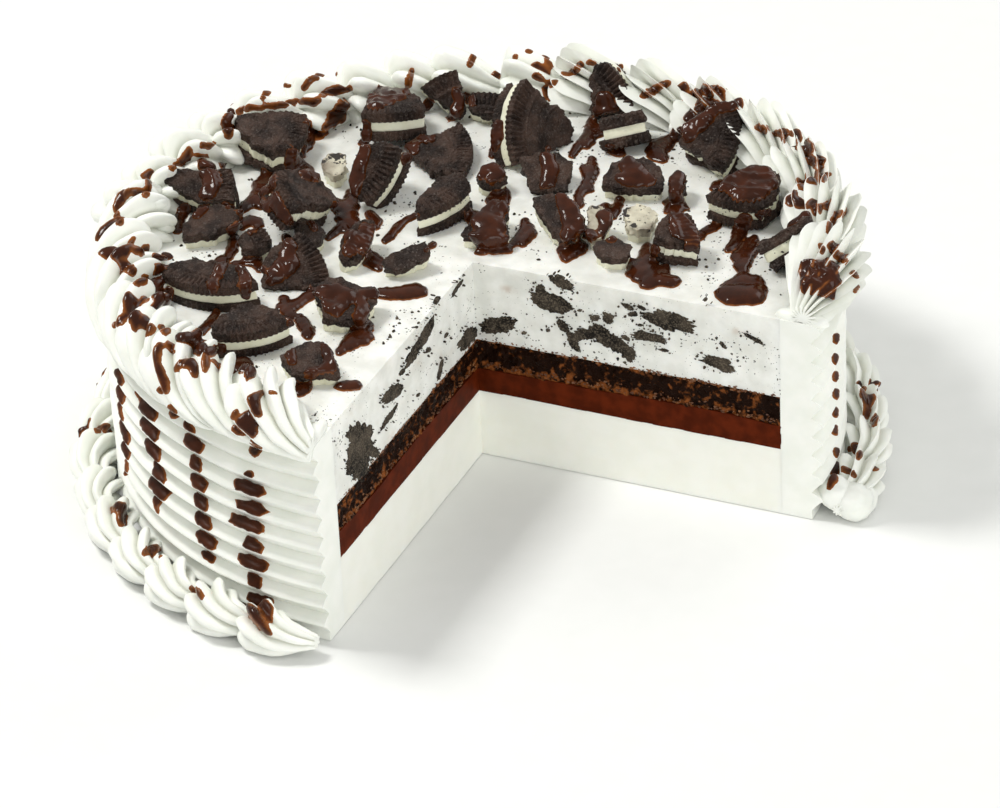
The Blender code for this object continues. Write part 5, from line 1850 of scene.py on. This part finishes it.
@dataclass
class CutBits:
    """Broken cookie that shows at the cut faces of the ice cream."""

    eye: Eye
    turns: int = 72
    few_turns: int = 12
    large: float = 6.0  # length in pixels from which a bit has the full number of turns
    crumbs: int = 380
    crumb_heights: tuple[float, float] = (36.75, 28.3)

    # across, down, length, width and slope as seen in the photograph, in pixels and degrees
    RIGHT = (
        (552, 302, 46, 19, 22), (562, 283, 27, 10, 26), (497, 325, 36, 19, 2),
        (563, 326, 16, 8, 50), (573, 341, 22, 10, 60), (586, 334, 26, 12, -6),
        (600, 333, 24, 14, 22), (613, 343, 32, 15, 26), (626, 351, 26, 14, 42),
        (608, 318, 14, 10, 40), (595, 318, 9, 6, 0), (628, 307, 13, 5, 30), (633, 314, 9, 5, 0),
        (642, 308, 9, 4, 30), (668, 321, 47, 17, 13), (650, 337, 34, 9, 8), (626, 338, 10, 4, 30),
        (717, 363, 34, 12, 20), (753, 338, 22, 4, 28), (723, 345, 10, 4, 45),
        (541, 290, 12, 9, 60), (705, 300, 4, 3, 0), (524, 333, 5, 4, 0), (548, 330, 5, 4, 20),
        (690, 330, 10, 4, 50), (664, 350, 10, 3, 10), (640, 325, 5, 3, 0), (580, 310, 5, 3, 0),
    )
    LEFT = (
        (425, 334, 40, 9, -62), (413, 354, 30, 8, -62), (440, 370, 22, 4, -76),
        (393, 393, 28, 11, -42), (389, 417, 28, 5, -58), (361, 440, 34, 26, 70),
        (358, 462, 36, 22, 84), (457, 288, 20, 3, -58), (468, 338, 28, 14, -55),
        (428, 350, 7, 4, -60), (402, 372, 8, 4, -50), (373, 452, 14, 10, 60),
        (446, 335, 6, 3, -60), (438, 300, 8, 3, -60), (418, 395, 5, 3, -50), (350, 470, 10, 8, 90),
    )

    def on_plane(self, u: float, v: float, side: Side) -> np.ndarray:
        """Where the ray through a pixel meets a cut face, in millimetres."""
        ray = np.array(self.eye.ray(u, v))
        place = np.array(self.eye.place)
        axis = 0 if side is Side.LEFT else 1
        return place - ray * place[axis] / ray[axis]

    def bit(self, row: tuple[float, ...], side: Side, seed: int) -> tuple[np.ndarray, list]:
        """One bit as a closed body.

        Args:
            row: where it is seen and how large.
            side: its cut face.
            seed: picks its ragged outline.

        Returns:
            Its points and faces.
        """
        u, v, length, width, slope = row
        turns = self.turns if length > self.large else self.few_turns
        angle = np.linspace(0.0, 2.0 * math.pi, turns, endpoint=False)
        wave = np.column_stack([np.cos(angle), np.sin(angle), np.zeros(turns)])
        ragged = 1.0 + 0.4 * rough(wave, 0.6, 4, seed) + 0.2 * drift(wave, 0.11, seed)
        along = 0.5 * length * np.cos(angle) * ragged
        across = 0.5 * width * np.sin(angle) * ragged
        turn = math.radians(slope)
        outward = np.array([1.0, 0.0, 0.0] if side is Side.LEFT else [0.0, -1.0, 0.0])
        points = []
        for share, rise in ((0.25, 0.3), (0.5, 0.3), (0.75, 0.26), (0.93, 0.2), (1.0, 0.0),
                            (0.9, -0.8)):
            du = share * (along * math.cos(turn) - across * math.sin(turn))
            dv = share * (along * math.sin(turn) + across * math.cos(turn))
            ring = np.array([self.on_plane(u + a, v + b, side) for a, b in zip(du, dv)])
            bumps = 0.2 * rough(ring, 1.0, 2, seed + 1) if rise > 0.0 else np.zeros(len(ring))
            points.append(ring + np.outer(rise + bumps, outward))
        middle = self.on_plane(u, v, side)
        stack = np.vstack([*points, middle + 0.3 * outward, middle - 0.8 * outward])
        return stack, ring_faces(turns, len(points))

    @staticmethod
    def strays(rows: tuple[tuple[float, ...], ...]) -> list[tuple[float, ...]]:
        """Small bits round the large ones of rows, in the same form."""
        chance = np.random.default_rng(17)
        found = []
        for u, v, length, width, slope in rows:
            for _ in range(4 + int(length / 3.0)):
                turn = chance.uniform(0.0, 2.0 * math.pi)
                along = (0.5 * length + chance.uniform(0.5, 6.0)) * math.cos(turn)
                across = (0.5 * width + chance.uniform(0.5, 5.0)) * math.sin(turn)
                lean = math.radians(slope)
                size = chance.uniform(0.7, 1.8) ** 2
                found.append((u + along * math.cos(lean) - across * math.sin(lean),
                              v + along * math.sin(lean) + across * math.cos(lean),
                              size, size * chance.uniform(0.4, 0.9), chance.uniform(0.0, 90.0)))
        return found

    def golden(self, side: Side, shop: Workshop) -> None:
        """Golden crumbs along the upper and lower edge of the crunch at one cut face.

        Args:
            side: the cut face.
            shop: where they are made.
        """
        ball = bmesh.new()
        bmesh.ops.create_icosphere(ball, subdivisions=1, radius=1.0)
        skin = np.array([v.co for v in ball.verts])
        faces_one = [tuple(v.index for v in f.verts) for f in ball.faces]
        ball.free()
        chance = np.random.default_rng(32 + (side is Side.LEFT))
        head, foot = self.crumb_heights
        bodies = []
        for i in range(self.crumbs):
            upper = i % 2 == 0
            if upper:
                level = head + chance.normal(0.0, 0.35)
            else:
                level = foot + abs(chance.normal(0.0, 1.1))
            far = chance.uniform(1.5, 87.0)
            size = chance.uniform(0.15, 0.5 if upper else 0.4)
            stretch = np.array([chance.uniform(0.7, 1.6), 0.8, chance.uniform(0.5, 1.0)])
            shape = skin * (1.0 + 0.5 * rough(skin, 0.8, 2, i)[:, None]) * size * stretch
            if side is Side.RIGHT:
                placed = shape + np.array([far, 0.1, level])
            else:
                placed = shape[:, [1, 0, 2]] + np.array([-0.1, -far, level])
            bodies.append((placed, faces_one))
        name = f"golden_crumbs_{side.name.lower()}"
        obj = shop.mesh(name, *stacked(bodies), ("golden_crumb",))
        face_out(obj)
        shop.keep(obj, "crunch")

    def build(self, shop: Workshop) -> None:
        """Makes the bits of both faces; shop is where they are made."""
        for side, rows in ((Side.RIGHT, self.RIGHT), (Side.LEFT, self.LEFT)):
            self.golden(side, shop)
            every = enumerate([*rows, *self.strays(rows)], 60)
            bodies = [self.bit(row, side, seed) for seed, row in every]
            name = f"cookie_bits_{side.name.lower()}"
            obj = shop.mesh(name, *stacked(bodies), ("crumbs",))
            face_out(obj)
            shop.keep(obj, "cookie")


class ScatterTree(GeometryTree):
    """Scatters crumbs on the upward faces of a surface."""

    NAME = "crumb_scatter"
    INPUTS = (
        ("Density", "Float", 90000.0),
        ("Seed", "Int", 3),
        ("Smallest", "Float", 0.25),
        ("Largest", "Float", 0.9),
        ("Lowest", "Float", 0.0595),
        ("Crumb", "Object", None),
    )

    def lay(self, work: NodeWork, ins: bpy.types.NodeOutputs) -> bpy.types.NodeSocket:
        """Adds the tree's own nodes and returns their geometry; ins are the tree's inputs."""
        here = work.add("GeometryNodeInputPosition").outputs["Position"]
        normal = work.add("GeometryNodeInputNormal").outputs["Normal"]
        up = work.add("ShaderNodeSeparateXYZ", {"Vector": normal}).outputs["Z"]
        high = work.add("ShaderNodeSeparateXYZ", {"Vector": here}).outputs["Z"]
        thick = work.span(work.noise(here, 70.0, 2.0).outputs["Fac"], 0.45, 0.7)
        flat = work.math("GREATER_THAN", up, 0.85)
        above = work.math("GREATER_THAN", high, ins["Lowest"])
        share = work.math("MULTIPLY", work.math("MULTIPLY", flat, above), thick)
        density = work.math("MULTIPLY", share, ins["Density"])
        spread = work.add("GeometryNodeDistributePointsOnFaces",
                          {"Mesh": ins["Geometry"], "Density": density, "Seed": ins["Seed"]})
        crumb = work.add("GeometryNodeObjectInfo", {"Object": ins["Crumb"]})
        size = self.chance(work, "FLOAT", ins["Smallest"], ins["Largest"])
        turn = self.chance(work, "FLOAT_VECTOR", (0.0, 0.0, 0.0), (6.28, 6.28, 6.28))
        placed = work.add("GeometryNodeInstanceOnPoints",
                          {"Points": spread.outputs["Points"], "Rotation": turn, "Scale": size,
                           "Instance": crumb.outputs["Geometry"]})
        return placed.outputs["Instances"]

    @staticmethod
    def chance(work: NodeWork, kind: str, low: object, high: object) -> bpy.types.NodeSocket:
        """A random value between two; returns its socket."""
        node = work.add("FunctionNodeRandomValue", data_type=kind)
        sockets = {s.name: s for s in node.inputs if s.enabled}
        for name, value in (("Min", low), ("Max", high)):
            if isinstance(value, bpy.types.NodeSocket):
                work.tree.links.new(value, sockets[name])
            else:
                sockets[name].default_value = value
        return next(s for s in node.outputs if s.enabled)


@dataclass
class Crumbs:
    """Loose crumbs on the top."""

    def build(self, shop: Workshop) -> None:
        """Scatters them; shop is where they are made."""
        bm = bmesh.new()
        bmesh.ops.create_icosphere(bm, subdivisions=2, radius=0.7)
        flat = np.array([v.co for v in bm.verts])
        for vert, push in zip(bm.verts, rough(flat, 0.7, 2, 8)):
            vert.co *= 1.0 + 0.45 * push
            vert.co.z *= 0.7
        bm.transform(Matrix.Scale(MM, 4))
        crumb = bpy.data.objects.new("one_crumb", settled(bm, "one_crumb"))
        top = next(p for p in shop.pieces if p.name == "ice_cream_layer_look")
        under = put("crumbs_on_top", top.data.copy())
        values = {"Crumb": crumb, "Material": shop.pantry.of("crumbs")}
        under = ScatterTree().run(under, values, shop)
        bpy.data.objects.remove(crumb, do_unlink=True)
        shop.keep(under, "cookie")


class Studio:
    """Floor, light and camera."""

    DROP = 0.0002  # how far the floor is below the cake, in metres
    LIGHTS = (
        ("key", (-0.5, -0.1, 0.95), 0.26, 6.6, (1.0, 0.99, 0.96)),
        ("fill", (1.05, -0.75, 0.45), 0.8, 6.0, (1.0, 1.0, 0.98)),
        ("back", (0.35, 0.9, 0.7), 0.7, 2.6, (1.0, 1.0, 1.0)),
    )

    def __init__(self, eye: Eye) -> None:
        """Keeps the viewpoint."""
        self.eye = eye

    def build(self, shop: Workshop) -> None:
        """Makes the floor, the lights and the camera; shop holds the floor's material."""
        bm = bmesh.new()
        bmesh.ops.create_grid(bm, x_segments=2, y_segments=2, size=6.0)
        mesh = settled(bm, "floor")
        mesh.materials.append(shop.pantry.of("floor"))
        floor = put("floor", mesh)
        floor.location.z = -self.DROP
        world = bpy.data.worlds.new("studio")
        world.use_nodes = True
        sky = world.node_tree.nodes["Background"].inputs
        sky["Color"].default_value = (1.0, 1.0, 0.965, 1.0)
        sky["Strength"].default_value = 0.53
        bpy.context.scene.world = world
        for row in self.LIGHTS:
            self.light(*row)
        bpy.context.scene.view_settings.view_transform = "Standard"
        self.camera()

    @staticmethod
    def light(name: str, place: tuple, size: float, power: float, color: tuple) -> None:
        """Adds one square soft light that faces the cake."""
        made = bpy.data.lights.new(name, "AREA")
        made.size = size
        made.energy = power
        made.color = color
        obj = put(name, made)
        obj.location = place
        aim = Vector((0.0, 0.0, 0.03)) - Vector(place)
        obj.rotation_euler = aim.to_track_quat("-Z", "Y").to_euler()

    def camera(self) -> None:
        """Puts the camera where the photograph was taken from."""
        made = bpy.data.cameras.new("photo_view")
        made.sensor_width = self.eye.sensor
        made.lens = self.eye.lens
        made.clip_start, made.clip_end = 0.05, 30.0
        obj = put("photo_view", made)
        matrix = self.eye.axes().to_4x4()
        matrix.translation = Vector(self.eye.place) * MM
        obj.matrix_world = matrix
        bpy.context.scene.camera = obj


def piped_borders() -> tuple[PipedBorder, PipedBorder]:
    """The two borders: their shells' places and shapes, in millimetres and degrees."""
    azimuths = (
        7, 22, 36.5, 50.5, 63, 75, 88, 101, 114, 122, 130, 139, 149,
        158.5, 167, 176, 185, 195, 206, 216, 226.5, 236, 244.5, 253.5, 264,
    )
    left_spine = (
        (-10.5, 91.5, 64.2, 0.0), (-8.3, 92.6, 64.4, 7.2), (-3.2, 95.0, 64.0, 10.6),
        (3.2, 97.6, 62.2, 9.7), (9.5, 99.6, 60.2, 6.2), (15.5, 100.2, 58.5, 0.0),
    )
    right_spine = (
        (-10.0, 95.5, 64.8, 0.0), (-8.0, 95.5, 64.6, 8.4), (-3.2, 95.5, 64.2, 11.2),
        (3.2, 95.1, 63.0, 9.6), (9.0, 94.5, 62.2, 6.0), (15.0, 93.5, 61.6, 0.0),
    )
    base_spine = (
        (-10.6, 104.6, 5.0, 0.0), (-7.2, 105.6, 5.6, 6.4), (-1.0, 106.6, 5.4, 7.5),
        (6.4, 104.8, 4.6, 4.9), (12.5, 102.9, 3.8, 0.0),
    )
    base = tuple(5.0 + 9.3 * i for i in range(29))
    top = PipedBorder("top_border", (
        ShellRow("petals", azimuths[:7], right_spine, -1, 16.0, 0.5, 0.5, 8.0, 1.5, 40, 128),
        ShellRow("domes", azimuths[7:17], right_spine, -1, 8.0, 0.42, 0.1, 2.0, 0.9, 36, 72, 7),
        ShellRow("scallops", azimuths[17:], left_spine, 1, 8.0, 0.48, 0.05, 3.0, 2.7, 44, 84, 17),
    ), (((93.5, 2.5, 60.4), (7.5, 2.4, 2.6)), ((-2.5, -94.0, 60.4), (2.4, 7.5, 2.6))))
    foot = PipedBorder("base_border", (
        ShellRow("foot_petals", base[:20], base_spine, -1, 9.0, 0.46, 0.5, 2.6, 1.3, 32, 60),
        ShellRow("foot_scallops", base[20:], base_spine, 1, 7.0, 0.44, 0.1, 1.8, 1.8, 40, 72, 20),
    ), (((101.8, 4.8, 6.4), (4.6, 4.7, 4.6)), ((106.6, 5.6, 4.6), (5.6, 5.5, 5.0)),
        ((109.2, 8.4, 4.0), (3.0, 4.2, 4.0))), 0.0)
    return top, foot


def main() -> None:
    """Builds the cake in order and reports each piece."""
    logging.basicConfig(level=logging.INFO, format="%(name)s %(message)s")
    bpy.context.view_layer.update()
    shop = Workshop(Pantry())
    layers = (
        Layer("vanilla_layer", "vanilla", 0.0, 20.4, 0.8, 0.1, 9.0, 0.0, 0.15, seed=2),
        Layer("fudge_layer", "fudge", 20.3, 27.8, 0.55, 0.12, 6.0, 0.15, 0.8, seed=3),
        Layer("crunch_layer", "crunch", 27.6, 36.9, 0.42, 0.75, 2.6, 0.8, 0.6, 0.25, seed=4),
        Layer("ice_cream_layer", "cookie_ice_cream", 36.7, 60.8, 0.6, 0.16, 7.0, 0.6, 0.0,
              detailed_top=True, seed=6),
    )
    for layer in layers:
        layer.build(shop)
    CombedWall().build(shop)
    sweep = SweepTree()
    for border in piped_borders():
        border.build(sweep, shop)
    cookie = Cookie()
    for chunk in CHUNKS:
        cookie.build(chunk, shop)
    eye = Eye()
    CutBits(eye).build(shop)
    Saucier(eye).build(shop)
    Crumbs().build(shop)
    Studio(eye).build(shop)


if __name__ == "__main__":
    main()
